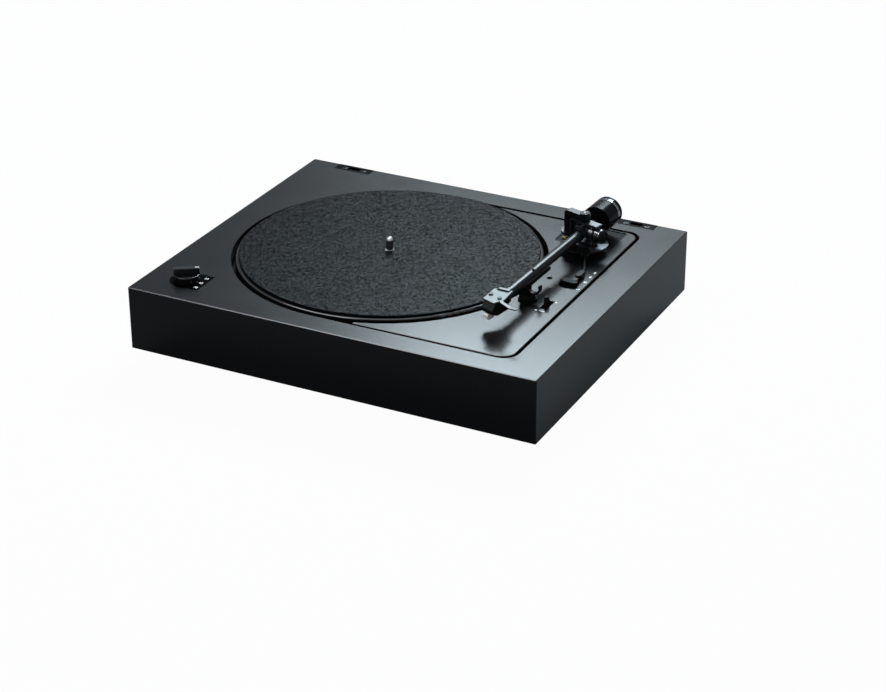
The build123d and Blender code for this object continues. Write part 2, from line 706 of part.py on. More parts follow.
SWITCH_H = 14.0
SWITCH_SIZE = (26.0, 22.0)
TERMINAL_L = 5.0
TERMINAL_SIZE = (1.2, 1.0)
TERMINAL_PITCH = (5.0, 16.0)
KNOB_SHAFT_L = 9.0      # shaft below the deck
with BuildPart() as speed_switch:
    with BuildSketch(level(UNDER_DECK - SWITCH_H)):
        with Locations((SPEED_X, SPEED_Y)):
            Rectangle(*SWITCH_SIZE)
    extrude(amount=SWITCH_H)
    with BuildSketch(level(UNDER_DECK - SWITCH_H - TERMINAL_L)):
        with Locations((SPEED_X, SPEED_Y)):
            with GridLocations(*TERMINAL_PITCH, 4, 2):
                Rectangle(*TERMINAL_SIZE)
    extrude(amount=TERMINAL_L)
    with Locations((SPEED_X, SPEED_Y, UNDER_DECK)):
        Hole(KNOB_SHAFT_R + RUN_FIT, depth=KNOB_SHAFT_L + 1)
speed_switch.part.label = "speed_switch"
export_step(speed_switch.part, "parts/speed_switch.step")

KNOB_GAP = 0.3          # knob above its plate
KNOB_FILLET = 0.8
KNOB_DRAFT = 2.0        # in degrees
BAR_DRAFT = 3.0
with BuildPart() as speed_knob:
    with BuildSketch(level(TOP + KNOB_GAP)):
        with Locations((SPEED_X, SPEED_Y)):
            Circle(KNOB_R)
    extrude(amount=KNOB_DISC_H - KNOB_GAP, taper=KNOB_DRAFT)
    fillet(speed_knob.faces().sort_by(Axis.Z)[-1].edges(), KNOB_FILLET)
    with BuildSketch(level_at((SPEED_X, SPEED_Y), TOP + 1, KNOB_TURN)):
        RectangleRounded(2 * KNOB_R, KNOB_BAR_W, 2)
    extrude(amount=KNOB_H - 1, taper=BAR_DRAFT)
    fillet(speed_knob.faces().sort_by(Axis.Z)[-1].edges(), KNOB_FILLET)
    with BuildSketch(level(UNDER_DECK - KNOB_SHAFT_L)):
        with Locations((SPEED_X, SPEED_Y)):
            Circle(KNOB_SHAFT_R)
    extrude(amount=DECK + KNOB_SHAFT_L + KNOB_GAP)
speed_knob.part.label = "speed_knob"
export_step(speed_knob.part, "parts/speed_knob.step")

# ================================================================ floating chassis
# two pin holes in the tray, and the hole of the transit screw
PIN_HOLES = [(TRAY_X + 24.4, TRAY_Y + 9.5), (TRAY_X + 26.5, TRAY_Y + 11.1)]
PIN_HOLE_R = 0.9
TRANSIT_HOLE = (SELECTOR_X - 22.0, SELECTOR_Y + 4.1)
TRANSIT_HOLE_R = 3.0
RIB_L = 55.5
PLUNGER_R = 1.6
PLUNGER_AT = (
    PIVOT_X + (LIFT_R0 + LIFT_R1) / 2 * cos(radians(-112)),
    PIVOT_Y + (LIFT_R0 + LIFT_R1) / 2 * sin(radians(-112)),
)
NECK_R = 13.0
LINK_PIN = (CAM_X + PIN_REACH, CAM_Y)

with BuildSketch() as deck_face:
    add(deck_outline(0, PLATE_LEFT))
    with Locations(AT_PLATTER):
        Circle(WELL_R, mode=Mode.SUBTRACT)
with BuildSketch() as deck_inside:
    add(offset(deck_face.sketch, -PLATE_T, kind=Kind.INTERSECTION))

with BuildPart() as chassis_plate:
    # base sheet under the platter, with its flange below the deck of the plinth
    with BuildSketch(level(SHEET_LOW)):
        with Locations(AT_PLATTER):
            Circle(WELL_R + FLANGE_OUT)
        add(deck_outline(FLANGE_OUT, PLATTER_X))
        with Locations(AT_PLATTER):
            Circle(HOUSING_R + 0.3, mode=Mode.SUBTRACT)
        with Locations(AT_MOTOR):
            Circle(PULLEY_R + PULLEY_LIP + 1, mode=Mode.SUBTRACT)
        with Locations(LINK_PIN):
            SlotOverall(
                2 * (SLIDER_TRAVEL + PIN_R + 1), 2 * (PIN_R + 1), rotation=90, mode=Mode.SUBTRACT
            )
        add(deck_inside.sketch, mode=Mode.SUBTRACT)
        with Locations(*MOUNT_PLACES):
            Circle(MOUNT_R + 2)
    extrude(amount=SHEET_T)
    # raised panel: drawn walls and top
    with BuildSketch(level(SHEET_LOW)):
        add(deck_face.sketch)
        add(deck_inside.sketch, mode=Mode.SUBTRACT)
    extrude(amount=SHEET_DROP)
    with BuildSketch(level(TOP - PLATE_T)):
        add(deck_face.sketch)
    extrude(amount=PLATE_T)
    chamfer(chassis_plate.faces().sort_by(Axis.Z)[-1].outer_wire().edges(), 0.5)
    # two pressed ribs under the panel
    with BuildSketch(level(TOP - PLATE_T - 3)):
        for rib_y in (SLIDER_Y - 32, SELECTOR_Y - 14.1):
            with Locations((PLATE_RIGHT - RIB_L / 2, rib_y)):
                Rectangle(RIB_L - 2, 4)
        with Locations(SLOT_MID):
            Rectangle(30, 60, mode=Mode.SUBTRACT)
        with Locations(AT_SELECTOR):
            Circle(DISH_R + 3, mode=Mode.SUBTRACT)
        add(deck_face.sketch, mode=Mode.INTERSECT)
    extrude(amount=3)
    # shallow tray behind the arm
    with BuildSketch(level(TOP - TRAY_DEPTH)):
        with Locations((TRAY_X, TRAY_Y)):
            RectangleRounded(TRAY_W, TRAY_D, 4)
        with Locations(AT_PLATTER):
            Circle(WELL_R + 5, mode=Mode.SUBTRACT)
    extrude(amount=TRAY_DEPTH, mode=Mode.SUBTRACT)
    # holes of the controls
    with BuildSketch(level(TOP - PLATE_T)):
        with Locations(AT_PIVOT):
            Circle(NECK_R + SEAT_GAP)
        with Locations(AT_SELECTOR):
            Circle(DISH_R)
        with Locations(SLOT_MID):
            Rectangle(SLOT_W, SLOT_L)
        with Locations(*PIN_HOLES):
            Circle(PIN_HOLE_R)
        with Locations(TRANSIT_HOLE):
            Circle(TRANSIT_HOLE_R)
        with Locations(PLUNGER_AT):
            Circle(PLUNGER_R + 0.3)
    extrude(amount=PLATE_T, mode=Mode.SUBTRACT)
chassis_plate.part.label = "chassis_plate"
export_step(chassis_plate.part, "parts/chassis_plate.step")

with BuildPart() as one_isolator:
    with BuildSketch(Plane.XZ):
        with BuildLine():
            Polyline((0, MOUNT_LOW), (MOUNT_R, MOUNT_LOW), (MOUNT_R, MOUNT_LOW + 3))
            ThreePointArc(
                (MOUNT_R, MOUNT_LOW + 3),
                (MOUNT_R - 2.5, MOUNT_LOW + MOUNT_H / 2),
                (MOUNT_R, SHEET_LOW - 3),
            )
            Polyline((MOUNT_R, SHEET_LOW - 3), (MOUNT_R, SHEET_LOW), (0, SHEET_LOW))
            Line((0, SHEET_LOW), (0, MOUNT_LOW))
        make_face()
    revolve(axis=Axis.Z)

with BuildPart() as chassis_isolators:
    with Locations(*MOUNT_PLACES):
        add(one_isolator.part)
chassis_isolators.part.label = "chassis_isolators"
export_step(chassis_isolators.part, "parts/chassis_isolators.step")

# ---------------------------------------------------------------- main bearing
HOUSING_LOW = SHEET_LOW - HOUSING_DEPTH
HOUSING_FLOOR = 3.0
THRUST_T = 2.0
BUSH_LOW = HOUSING_LOW + HOUSING_FLOOR + THRUST_T + 2.0
HOUSING_TOP = SHEET_TOP - 0.2
BUSH_R = JOURNAL_R + RUN_FIT + BUSH_WALL
GUSSET_L = 8.0
GUSSET_T = 2.5
GUSSET_H = 9.0
with BuildPart() as bearing_housing:
    with BuildSketch(level(HOUSING_LOW)):
        with Locations(AT_PLATTER):
            Circle(HOUSING_R)
    extrude(amount=HOUSING_TOP - HOUSING_LOW)
    with BuildSketch(level(SHEET_LOW - FLANGE_T)):
        with Locations(AT_PLATTER):
            Circle(FLANGE_R)
            with PolarLocations(FLANGE_R - 5, 3):
                Circle(SCREW_R, mode=Mode.SUBTRACT)
    extrude(amount=FLANGE_T)
    with BuildSketch(level(SHEET_LOW - FLANGE_T - GUSSET_H)):
        with Locations(AT_PLATTER):
            with PolarLocations(HOUSING_R + GUSSET_L / 2 - 0.5, 3, start_angle=60):
                Rectangle(GUSSET_L, GUSSET_T)
    extrude(amount=GUSSET_H)
    with BuildSketch(level(HOUSING_LOW + HOUSING_FLOOR)):
        with Locations(AT_PLATTER):
            Circle(BUSH_R)
    extrude(amount=HOUSING_TOP - HOUSING_LOW - HOUSING_FLOOR, mode=Mode.SUBTRACT)
bearing_housing.part.label = "bearing_housing"
export_step(bearing_housing.part, "parts/bearing_housing.step")

with BuildPart() as thrust_plate:
    with BuildSketch(level(HOUSING_LOW + HOUSING_FLOOR)):
        with Locations(AT_PLATTER):
            Circle(BUSH_R - 0.05)
    extrude(amount=THRUST_T)
thrust_plate.part.label = "thrust_plate"
export_step(thrust_plate.part, "parts/thrust_plate.step")

with BuildPart() as bearing_bush:
    with BuildSketch(level(BUSH_LOW)):
        with Locations(AT_PLATTER):
            Circle(BUSH_R - 0.02)
            Circle(JOURNAL_R + RUN_FIT, mode=Mode.SUBTRACT)
    extrude(amount=HOUSING_TOP - BUSH_LOW)
bearing_bush.part.label = "bearing_bush"
export_step(bearing_bush.part, "parts/bearing_bush.step")

# ---------------------------------------------------------------- motor, mounts and belt
MOTOR_EARS = 3
EAR_TURN = 15.0
EAR_AT = MOTOR_R + 4.0
EAR_T = 2.0
BEARING_BOSS_R = 6.0
BEARING_BOSS_H = 2.0
SHAFT_DEPTH = 9.0       # shaft inside the motor
GROMMET_R = 4.5
with BuildPart() as motor_body:
    with BuildSketch(level(MOTOR_TOP - MOTOR_L)):
        with Locations(AT_MOTOR):
            Circle(MOTOR_R)
    extrude(amount=MOTOR_L - EAR_T)
    fillet(motor_body.faces().sort_by(Axis.Z)[0].edges(), 2)
    with BuildSketch(level(MOTOR_TOP - EAR_T)):
        with Locations(AT_MOTOR):
            Circle(MOTOR_R)
            with PolarLocations(EAR_AT, MOTOR_EARS, start_angle=EAR_TURN):
                Circle(GROMMET_R + 1.5)
    extrude(amount=EAR_T)
    with BuildSketch(level(MOTOR_TOP)):
        with Locations(AT_MOTOR):
            Circle(BEARING_BOSS_R)
    extrude(amount=BEARING_BOSS_H)
    with BuildSketch(level(MOTOR_TOP - EAR_T)):
        with Locations(AT_MOTOR):
            with PolarLocations(EAR_AT, MOTOR_EARS, start_angle=EAR_TURN):
                Circle(SCREW_R)
    extrude(amount=EAR_T, mode=Mode.SUBTRACT)
    with Locations((MOTOR_X, MOTOR_Y, MOTOR_TOP + BEARING_BOSS_H)):
        Hole(SHAFT_R + RUN_FIT, depth=BEARING_BOSS_H + SHAFT_DEPTH + 1)
motor_body.part.label = "motor_body"
export_step(motor_body.part, "parts/motor_body.step")

with BuildPart() as motor_mounts:
    with BuildSketch(level(MOTOR_TOP)):
        with Locations(AT_MOTOR):
            with PolarLocations(EAR_AT, MOTOR_EARS, start_angle=EAR_TURN):
                Circle(GROMMET_R)
    extrude(amount=SHEET_LOW - MOTOR_TOP)
motor_mounts.part.label = "motor_mounts"
export_step(motor_mounts.part, "parts/motor_mounts.step")

with BuildPart() as motor_shaft:
    with BuildSketch(level(MOTOR_TOP - SHAFT_DEPTH)):
        with Locations(AT_MOTOR):
            Circle(SHAFT_R)
    extrude(amount=WEB_LOW - 1.2 - MOTOR_TOP + SHAFT_DEPTH)
motor_shaft.part.label = "motor_shaft"
export_step(motor_shaft.part, "parts/motor_shaft.step")

PULLEY_LOW = BELT_LOW - 1.8
PULLEY_BORE = SHAFT_R + 0.02
BELT_TOP = BELT_LOW + BELT_W
with BuildPart() as motor_pulley:
    with BuildSketch(Plane.XZ):
        with BuildLine():
            Polyline(
                (PULLEY_BORE, PULLEY_LOW),
                (PULLEY_R + PULLEY_LIP, PULLEY_LOW),
                (PULLEY_R + PULLEY_LIP, PULLEY_LOW + 0.8),
                (PULLEY_R - 0.2, BELT_LOW - 0.4),
            )
            ThreePointArc(
                (PULLEY_R - 0.2, BELT_LOW - 0.4),
                (PULLEY_R, BELT_LOW + BELT_W / 2),
                (PULLEY_R - 0.2, BELT_TOP + 0.4),
            )
            Polyline(
                (PULLEY_R - 0.2, BELT_TOP + 0.4),
                (PULLEY_R + PULLEY_LIP, BELT_TOP + 0.9),
                (PULLEY_R + PULLEY_LIP, BELT_TOP + 1.2),
                (PULLEY_BORE, BELT_TOP + 1.2),
                (PULLEY_BORE, PULLEY_LOW),
            )
        make_face()
    revolve(axis=Axis.Z)
motor_pulley.part = Pos(MOTOR_X, MOTOR_Y, 0) * motor_pulley.part
motor_pulley.part.label = "motor_pulley"
export_step(motor_pulley.part, "parts/motor_pulley.step")

with BuildPart() as drive_belt:
    for radius_add, how in ((BELT_GAP + BELT_T, Mode.ADD), (BELT_GAP, Mode.SUBTRACT)):
        with BuildSketch(level(BELT_LOW)):
            with BuildSketch(mode=Mode.PRIVATE) as rims:
                with Locations(AT_PLATTER):
                    Circle(RING_R + radius_add)
                with Locations(AT_MOTOR):
                    Circle(PULLEY_R + radius_add)
            make_hull(rims.sketch.edges())
        extrude(amount=BELT_W, mode=how)
drive_belt.part.label = "drive_belt"
export_step(drive_belt.part, "parts/drive_belt.step")

# ---------------------------------------------------------------- platter
COLLAR_R = 9.0
with BuildPart() as spindle:
    with BuildSketch(Plane.XZ):
        with BuildLine():
            Polyline(
                (0, HOUSING_LOW + HOUSING_FLOOR + THRUST_T + 0.02),
                (1.6, HOUSING_LOW + HOUSING_FLOOR + THRUST_T + 1.0),
                (JOURNAL_R, BUSH_LOW),
                (JOURNAL_R, GEAR_TOP),
                (COLLAR_R, GEAR_TOP),
                (COLLAR_R, HUB_LOW),
                (JOURNAL_R + 1, HUB_LOW),
                (JOURNAL_R + 1, PLATTER_TOP - 0.2),
                (SEAT_R, PLATTER_TOP - 0.2),
                (SEAT_R, MAT_TOP + SEAT_RISE),
                (SPINDLE_R, MAT_TOP + SEAT_RISE),
                (SPINDLE_R, MAT_TOP + SPINDLE_RISE - 4),
            )
            ThreePointArc(
                (SPINDLE_R, MAT_TOP + SPINDLE_RISE - 4),
                (SPINDLE_R * 0.83, MAT_TOP + SPINDLE_RISE - 1.7),
                (SPINDLE_R * 0.3, MAT_TOP + SPINDLE_RISE),
            )
            Polyline(
                (SPINDLE_R * 0.3, MAT_TOP + SPINDLE_RISE),
                (0, MAT_TOP + SPINDLE_RISE),
                (0, HOUSING_LOW + 3 + THRUST_T + 0.02),
            )
        make_face()
    revolve(axis=Axis.Z)
spindle.part = Pos(PLATTER_X, PLATTER_Y, 0) * spindle.part
spindle.part.label = "spindle"
export_step(spindle.part, "parts/spindle.step")

with BuildPart() as hub_gear:
    with BuildSketch(level(GEAR_LOW)):
        with Locations(AT_PLATTER):
            add(gear_profile(PINION_TEETH))
            Circle(JOURNAL_R + 0.03, mode=Mode.SUBTRACT)
    extrude(amount=GEAR_T)
hub_gear.part.label = "hub_gear"
export_step(hub_gear.part, "parts/hub_gear.step")

with BuildPart() as platter:
    with BuildSketch(Plane.XZ):
        with BuildLine():
            Polyline(
                (JOURNAL_R + 1.05, PLATTER_TOP),
                (JOURNAL_R + 1.05, HUB_LOW),
                (HUB_R, HUB_LOW),
                (HUB_R, WEB_LOW),
                (RING_R - RING_T, WEB_LOW),
                (RING_R - RING_T, RING_LOW),
                (RING_R, RING_LOW),
                (RING_R, WEB_LOW),
                (PLATTER_R - SKIRT_T, WEB_LOW),
                (PLATTER_R - SKIRT_T, PLATTER_LOW),
                (PLATTER_R - 1.5, PLATTER_LOW),
                (PLATTER_R, PLATTER_LOW + 3),
                (PLATTER_R, PLATTER_TOP - SHOULDER),
            )
            RadiusArc(
                (PLATTER_R, PLATTER_TOP - SHOULDER), (PLATTER_R - SHOULDER, PLATTER_TOP), -SHOULDER
            )
            Line((PLATTER_R - SHOULDER, PLATTER_TOP), (JOURNAL_R + 1.05, PLATTER_TOP))
        make_face()
    revolve(axis=Axis.Z)
    # stiffening ribs from the hub to the drive ring
    with BuildSketch(level(WEB_LOW - 5)):
        with PolarLocations((HUB_R + RING_R - RING_T) / 2, RIB_COUNT):
            Rectangle(RING_R - RING_T - HUB_R + 1, RIB_T)
    extrude(amount=5)
    # finger holes for hanging the belt on the pulley
    with BuildSketch(level(WEB_LOW)):
        with PolarLocations((RING_R + PLATTER_R - SKIRT_T) / 2, 2, start_angle=45):
            Circle(11)
    extrude(amount=WEB_T, mode=Mode.SUBTRACT)
platter.part = Pos(PLATTER_X, PLATTER_Y, 0) * platter.part
platter.part.label = "platter"
export_step(platter.part, "parts/platter.step")

with BuildPart() as platter_mat:
    with BuildSketch(level(PLATTER_TOP)):
        with Locations(AT_PLATTER):
            Circle(MAT_R)
            Circle(SEAT_R + 0.25, mode=Mode.SUBTRACT)
    extrude(amount=MAT_T)
    fillet(platter_mat.faces().sort_by(Axis.Z)[-1].outer_wire().edges(), 0.8)
platter_mat.part.label = "platter_mat"
export_step(platter_mat.part, "parts/platter_mat.step")

# ---------------------------------------------------------------- cam gear, stud and starting link
with BuildPart() as cam_stud:
    with BuildSketch(level(SHEET_TOP)):
        with Locations(AT_CAM):
            Circle(STUD_R + 4)
    extrude(amount=GEAR_LOW - SHEET_TOP)
    with BuildSketch(level(GEAR_LOW)):
        with Locations(AT_CAM):
            Circle(STUD_R)
    extrude(amount=GEAR_T + 0.3)
    with BuildSketch(level(GEAR_TOP + 0.3)):
        with Locations(AT_CAM):
            Circle(STUD_R + 1.5)
    extrude(amount=0.8)
cam_stud.part.label = "cam_stud"
export_step(cam_stud.part, "parts/cam_stud.step")

with BuildPart() as cam_gear:
    with BuildSketch(level_at(AT_CAM, GEAR_LOW, degrees(ARM_AIM) + 180)):
        add(gear_profile(CAM_TEETH, BLANK_HALF))
        Circle(STUD_R + GIMBAL_PIN_FIT, mode=Mode.SUBTRACT)
        with PolarLocations(30, 5, start_angle=42):
            Circle(6, mode=Mode.SUBTRACT)
    extrude(amount=GEAR_T)
    # heart-shaped cam track on the upper face
    with BuildSketch(level(GEAR_TOP - 0.9)):
        with Locations((CAM_X - 3, CAM_Y)):
            Circle(20)
            Circle(17, mode=Mode.SUBTRACT)
    extrude(amount=0.9, mode=Mode.SUBTRACT)
    with BuildSketch(level(LINK_LOW - 0.6)):
        with Locations(LINK_PIN):
            Circle(PIN_R)
    extrude(amount=GEAR_LOW - LINK_LOW + 0.6)
cam_gear.part.label = "cam_gear"
export_step(cam_gear.part, "parts/cam_gear.step")

SLIDER_AT = (SLIDER_X, SLIDER_Y)
GUIDE_LOW = TOP - PLATE_T - 6
STEM_W = 3.0
STEM_L = 5.0
with BuildPart() as slider_guide:
    with BuildSketch(level(GUIDE_LOW)):
        with Locations(SLOT_MID):
            Rectangle(SLOT_W + 8, SLOT_L + 10)
    extrude(amount=6)
    with BuildSketch(level(GUIDE_LOW + 1.5)):
        with Locations(SLOT_MID):
            Rectangle(SLOT_W, SLOT_L)
    extrude(amount=4.5, mode=Mode.SUBTRACT)
    with BuildSketch(level(GUIDE_LOW)):
        with Locations(SLIDER_AT):
            Rectangle(STEM_W + 0.6, STEM_L + 2 * SLIDER_TRAVEL + 1.2)
    extrude(amount=1.5, mode=Mode.SUBTRACT)
slider_guide.part.label = "slider_guide"
export_step(slider_guide.part, "parts/slider_guide.step")

with BuildPart() as start_slider:
    with BuildSketch(level(LINK_LOW + LINK_T)):
        with Locations(SLIDER_AT):
            Rectangle(STEM_W, STEM_L)
    extrude(amount=GUIDE_LOW + 2 - LINK_LOW - LINK_T)
    with BuildSketch(level(GUIDE_LOW + 1.8)):
        with Locations(SLIDER_AT):
            Rectangle(SLOT_W - 0.8, STEM_L + 1)
    extrude(amount=2.5)
    with BuildSketch(level(GUIDE_LOW + 3)):
        with Locations((SLIDER_X, SLIDER_Y)):
            Rectangle(4.6, 5)
    extrude(amount=TOP + SLIDER_RISE - GUIDE_LOW - 3, taper=2)
    fillet(start_slider.faces().sort_by(Axis.Z)[-1].edges(), 0.7)
start_slider.part.label = "start_slider"
export_step(start_slider.part, "parts/start_slider.step")

with BuildPart() as start_link:
    with BuildSketch(level(LINK_LOW)):
        with BuildSketch(mode=Mode.PRIVATE) as link_ends:
            with Locations(SLIDER_AT):
                Circle(4)
            with Locations(LINK_PIN):
                Circle(5)
        make_hull(link_ends.sketch.edges())
        with Locations(LINK_PIN):
            SlotOverall(2 * PIN_R + 2.4, 2 * (PIN_R + 0.3), mode=Mode.SUBTRACT)
    extrude(amount=LINK_T)
start_link.part.label = "start_link"
export_step(start_link.part, "parts/start_link.step")

# ---------------------------------------------------------------- size selector
with BuildPart() as selector_dish:
    with BuildSketch(level(TOP - DISH_DEPTH - 1.5)):
        with Locations(AT_SELECTOR):
            Circle(DISH_R - 0.1)
    extrude(amount=DISH_DEPTH + 1.5)
    with BuildSketch(level(TOP - DISH_DEPTH)):
        with Locations(AT_SELECTOR):
            Circle(DISH_R - 1)
    extrude(amount=DISH_DEPTH, mode=Mode.SUBTRACT)
    with BuildSketch(level(TOP - DISH_DEPTH - 1.5)):
        with Locations(AT_SELECTOR):
            Circle(DISH_R + 2)
    extrude(amount=DISH_DEPTH + 1.5 - PLATE_T)
    with BuildSketch(level(TOP - DISH_DEPTH - 7)):
        with Locations(AT_SELECTOR):
            Circle(5)
    extrude(amount=6)
    with BuildSketch(level(TOP - DISH_DEPTH)):
        with Locations(AT_SELECTOR):
            Circle(DISH_R - 1)
    extrude(amount=DISH_DEPTH, mode=Mode.SUBTRACT)
    with Locations((SELECTOR_X, SELECTOR_Y, TOP - DISH_DEPTH)):
        Hole(2 + RUN_FIT, depth=7)
selector_dish.part.label = "selector_dish"
export_step(selector_dish.part, "parts/selector_dish.step")

with BuildPart() as size_selector:
    with BuildSketch(level_at(AT_SELECTOR, TOP - DISH_DEPTH + 0.4, -8)):
        SlotOverall(2 * (DISH_R - 1.5), BAR_W)
    extrude(amount=DISH_DEPTH + 3.6, taper=4)
    fillet(size_selector.faces().sort_by(Axis.Z)[-1].edges(), 0.6)
    with BuildSketch(level(TOP - DISH_DEPTH - 8)):
        with Locations(AT_SELECTOR):
            Circle(2)
    extrude(amount=8.6)
    with BuildSketch(level_at(AT_SELECTOR, TOP + 3.2, -8)):
        with Locations((DISH_R - 4.5, 0)):
            Rectangle(4, 0.9)
    extrude(amount=1, mode=Mode.SUBTRACT)
size_selector.part.label = "size_selector"
export_step(size_selector.part, "parts/size_selector.step")

# ================================================================ tonearm
BOSS_R = 6.9
LOWER_PIN_R = 2.0
STEM_AT = (PIVOT_X - 18.5, PIVOT_Y + 9.4)
STEM_R = 3.0
LOBE_AT = (PIVOT_X - 17.5, PIVOT_Y + 8.7)
CUE_TURN = degrees(atan2(-31.5, 12.5))
ROD_X = CUE_X + 12.5    # front part of the lever's rod
CUE_Z = 4.5
CUE_HUB_R = 2.4
CUE_HUB_W = 4.0
CUE_PIN_R = 1.0
CUE_PLANE = Plane(
    origin=(CUE_X, CUE_Y, TOP + CUE_Z),
    x_dir=(cos(radians(CUE_TURN)), sin(radians(CUE_TURN)), 0),
    z_dir=(sin(radians(CUE_TURN)), -cos(radians(CUE_TURN)), 0),
)

with BuildPart() as arm_base:
    with BuildSketch(Plane.XZ):
        with BuildLine():
            Polyline((0, TOP), (BASE_R - 1.7, TOP))
            ThreePointArc(
                (BASE_R - 1.7, TOP),
                (BASE_R - 1.2, TOP + BASE_H * 0.55),
                (BASE_R, BASE_TOP - 0.6),
            )
            Polyline(
                (BASE_R, BASE_TOP - 0.6),
                (BASE_R - 0.4, BASE_TOP),
                (BOSS_R, BASE_TOP),
                (BOSS_R, BASE_TOP + 1.3),
                (LOWER_PIN_R + 1, BASE_TOP + 1.3),
                (LOWER_PIN_R, TOP + GIMBAL_LOW),
                (LOWER_PIN_R, TOP + GIMBAL_LOW + GIMBAL_T),
                (0, TOP + GIMBAL_LOW + GIMBAL_T),
                (0, TOP),
            )
        make_face()
    revolve(axis=Axis.Z)
    # threaded neck and clamping nut under the panel
    with BuildSketch(level(SHEET_LOW - 2)):
        Circle(NECK_R)
        Circle(5, mode=Mode.SUBTRACT)
    extrude(amount=SHEET_DROP + 2)
    with BuildSketch(level(TOP - PLATE_T - 4)):
        RegularPolygon(NECK_R + 5, 6)
        Circle(NECK_R, mode=Mode.SUBTRACT)
    extrude(amount=4)
arm_base.part = Pos(PIVOT_X, PIVOT_Y, 0) * arm_base.part
with BuildPart() as cue_room:
    # room for the hub of the cue lever, and its rod in every position
    with BuildSketch(CUE_PLANE):
        Circle(CUE_HUB_R + 0.5)
        with Locations((6, 1.5)):
            Rectangle(12, 9)
    extrude(amount=(CUE_HUB_W + 0.6) / 2, both=True)
    with BuildSketch(level(SHEET_LOW - 2)):
        with Locations(PLUNGER_AT):
            Circle(PLUNGER_R + 0.1)
    extrude(amount=SHEET_DROP + BASE_H + 2)
with BuildPart() as cue_ears:
    # two ears beside the lever hub, with the hinge pin through them
    with BuildSketch(CUE_PLANE):
        Circle(CUE_HUB_R)
        with Locations((-3, -CUE_Z / 2)):
            Rectangle(6 + 2 * CUE_HUB_R, CUE_Z)
    extrude(amount=CUE_HUB_W / 2 + 2, both=True)
    with BuildSketch(CUE_PLANE):
        with Locations((0, -1)):
            Rectangle(30, 30)
    extrude(amount=CUE_HUB_W / 2 + 0.3, both=True, mode=Mode.SUBTRACT)
    with BuildSketch(CUE_PLANE):
        Circle(CUE_PIN_R)
    extrude(amount=CUE_HUB_W / 2 + 2, both=True)
arm_base.part = arm_base.part - cue_room.part + cue_ears.part
arm_base.part.label = "arm_base"
export_step(arm_base.part, "parts/arm_base.step")

with BuildPart() as antiskate_dial:
    with BuildSketch(level_at(AT_PIVOT, BASE_TOP + 0.05)):
        Circle(BASE_R)
        Circle(BOSS_R + 0.1, mode=Mode.SUBTRACT)
        with BuildSketch(mode=Mode.PRIVATE) as dial_keep:
            Circle(BOSS_R + 3)
            with BuildLine():
                CenterArc((0, 0), 2 * BASE_R, -50, 65)
                Line((0, 0), PolarLine((0, 0), 2 * BASE_R, -50) @ 1)
                Line((0, 0), PolarLine((0, 0), 2 * BASE_R, 15) @ 1)
            make_face()
        add(dial_keep.sketch, mode=Mode.INTERSECT)
    extrude(amount=1.2)
antiskate_dial.part.label = "antiskate_dial"
export_step(antiskate_dial.part, "parts/antiskate_dial.step")

with BuildPart() as pivot_bracket:
    # leg and beam over the gimbal
    with BuildSketch(YOKE):
        with BuildLine():
            Polyline(
                (-LEG_OUT, LOBE_TOP),
                (-LEG_IN, LOBE_TOP),
                (-LEG_IN, BEAM_LOW),
                (0, BEAM_LOW),
                (0, BEAM_TOP),
                (-LEG_OUT + 4, BEAM_TOP),
            )
            RadiusArc((-LEG_OUT + 4, BEAM_TOP), (-LEG_OUT, BEAM_TOP - 4), -4)
            Line((-LEG_OUT, BEAM_TOP - 4), (-LEG_OUT, LOBE_TOP))
        make_face()
    extrude(amount=LEG_W / 2, both=True)
    with BuildSketch(level(TOP + BEAM_LOW)):
        with Locations(AT_PIVOT):
            Circle(NUT_R + 0.4)
    extrude(amount=BEAM_TOP - BEAM_LOW)
    # round foot lobe on its stem, cut back clear of the swinging gimbal
    with BuildSketch(level(TOP + LOBE_TOP - LOBE_T)):
        with Locations(LOBE_AT):
            Circle(LOBE_R)
        with Locations(AT_PIVOT):
            Circle(LEG_IN + 0.3, mode=Mode.SUBTRACT)
    extrude(amount=LOBE_T)
    with BuildSketch(level(BASE_TOP)):
        with Locations(STEM_AT):
            Circle(STEM_R)
        with Locations(AT_PIVOT):
            Circle(LEG_IN + 0.3, mode=Mode.SUBTRACT)
    extrude(amount=LOBE_TOP - BASE_H)
    with Locations((PIVOT_X, PIVOT_Y, TOP + BEAM_TOP)):
        Hole(2.5, depth=BEAM_TOP - BEAM_LOW)
pivot_bracket.part.label = "pivot_bracket"
export_step(pivot_bracket.part, "parts/pivot_bracket.step")

with BuildPart() as pivot_screw:
    with BuildSketch(Plane.XZ):
        with BuildLine():
            Polyline(
                (0, TOP + GIMBAL_TOP - GIMBAL_T + 0.2),
                (GIMBAL_PIN_R, TOP + GIMBAL_TOP - GIMBAL_T + 0.2),
                (GIMBAL_PIN_R, TOP + BEAM_LOW),
                (2.45, TOP + BEAM_LOW + 0.4),
                (2.45, TOP + BEAM_TOP + NUT_T + 0.4),
                (1.6, TOP + BEAM_TOP + NUT_T + 1.0),
                (0, TOP + BEAM_TOP + NUT_T + 1.0),
                close=True,
            )
        make_face()
    revolve(axis=Axis.Z)
    with BuildSketch(level(TOP + BEAM_TOP + NUT_T + 0.2)):
        Rectangle(6, 0.6)
    extrude(amount=1, mode=Mode.SUBTRACT)
pivot_screw.part = Pos(PIVOT_X, PIVOT_Y, 0) * pivot_screw.part
pivot_screw.part.label = "pivot_screw"
export_step(pivot_screw.part, "parts/pivot_screw.step")

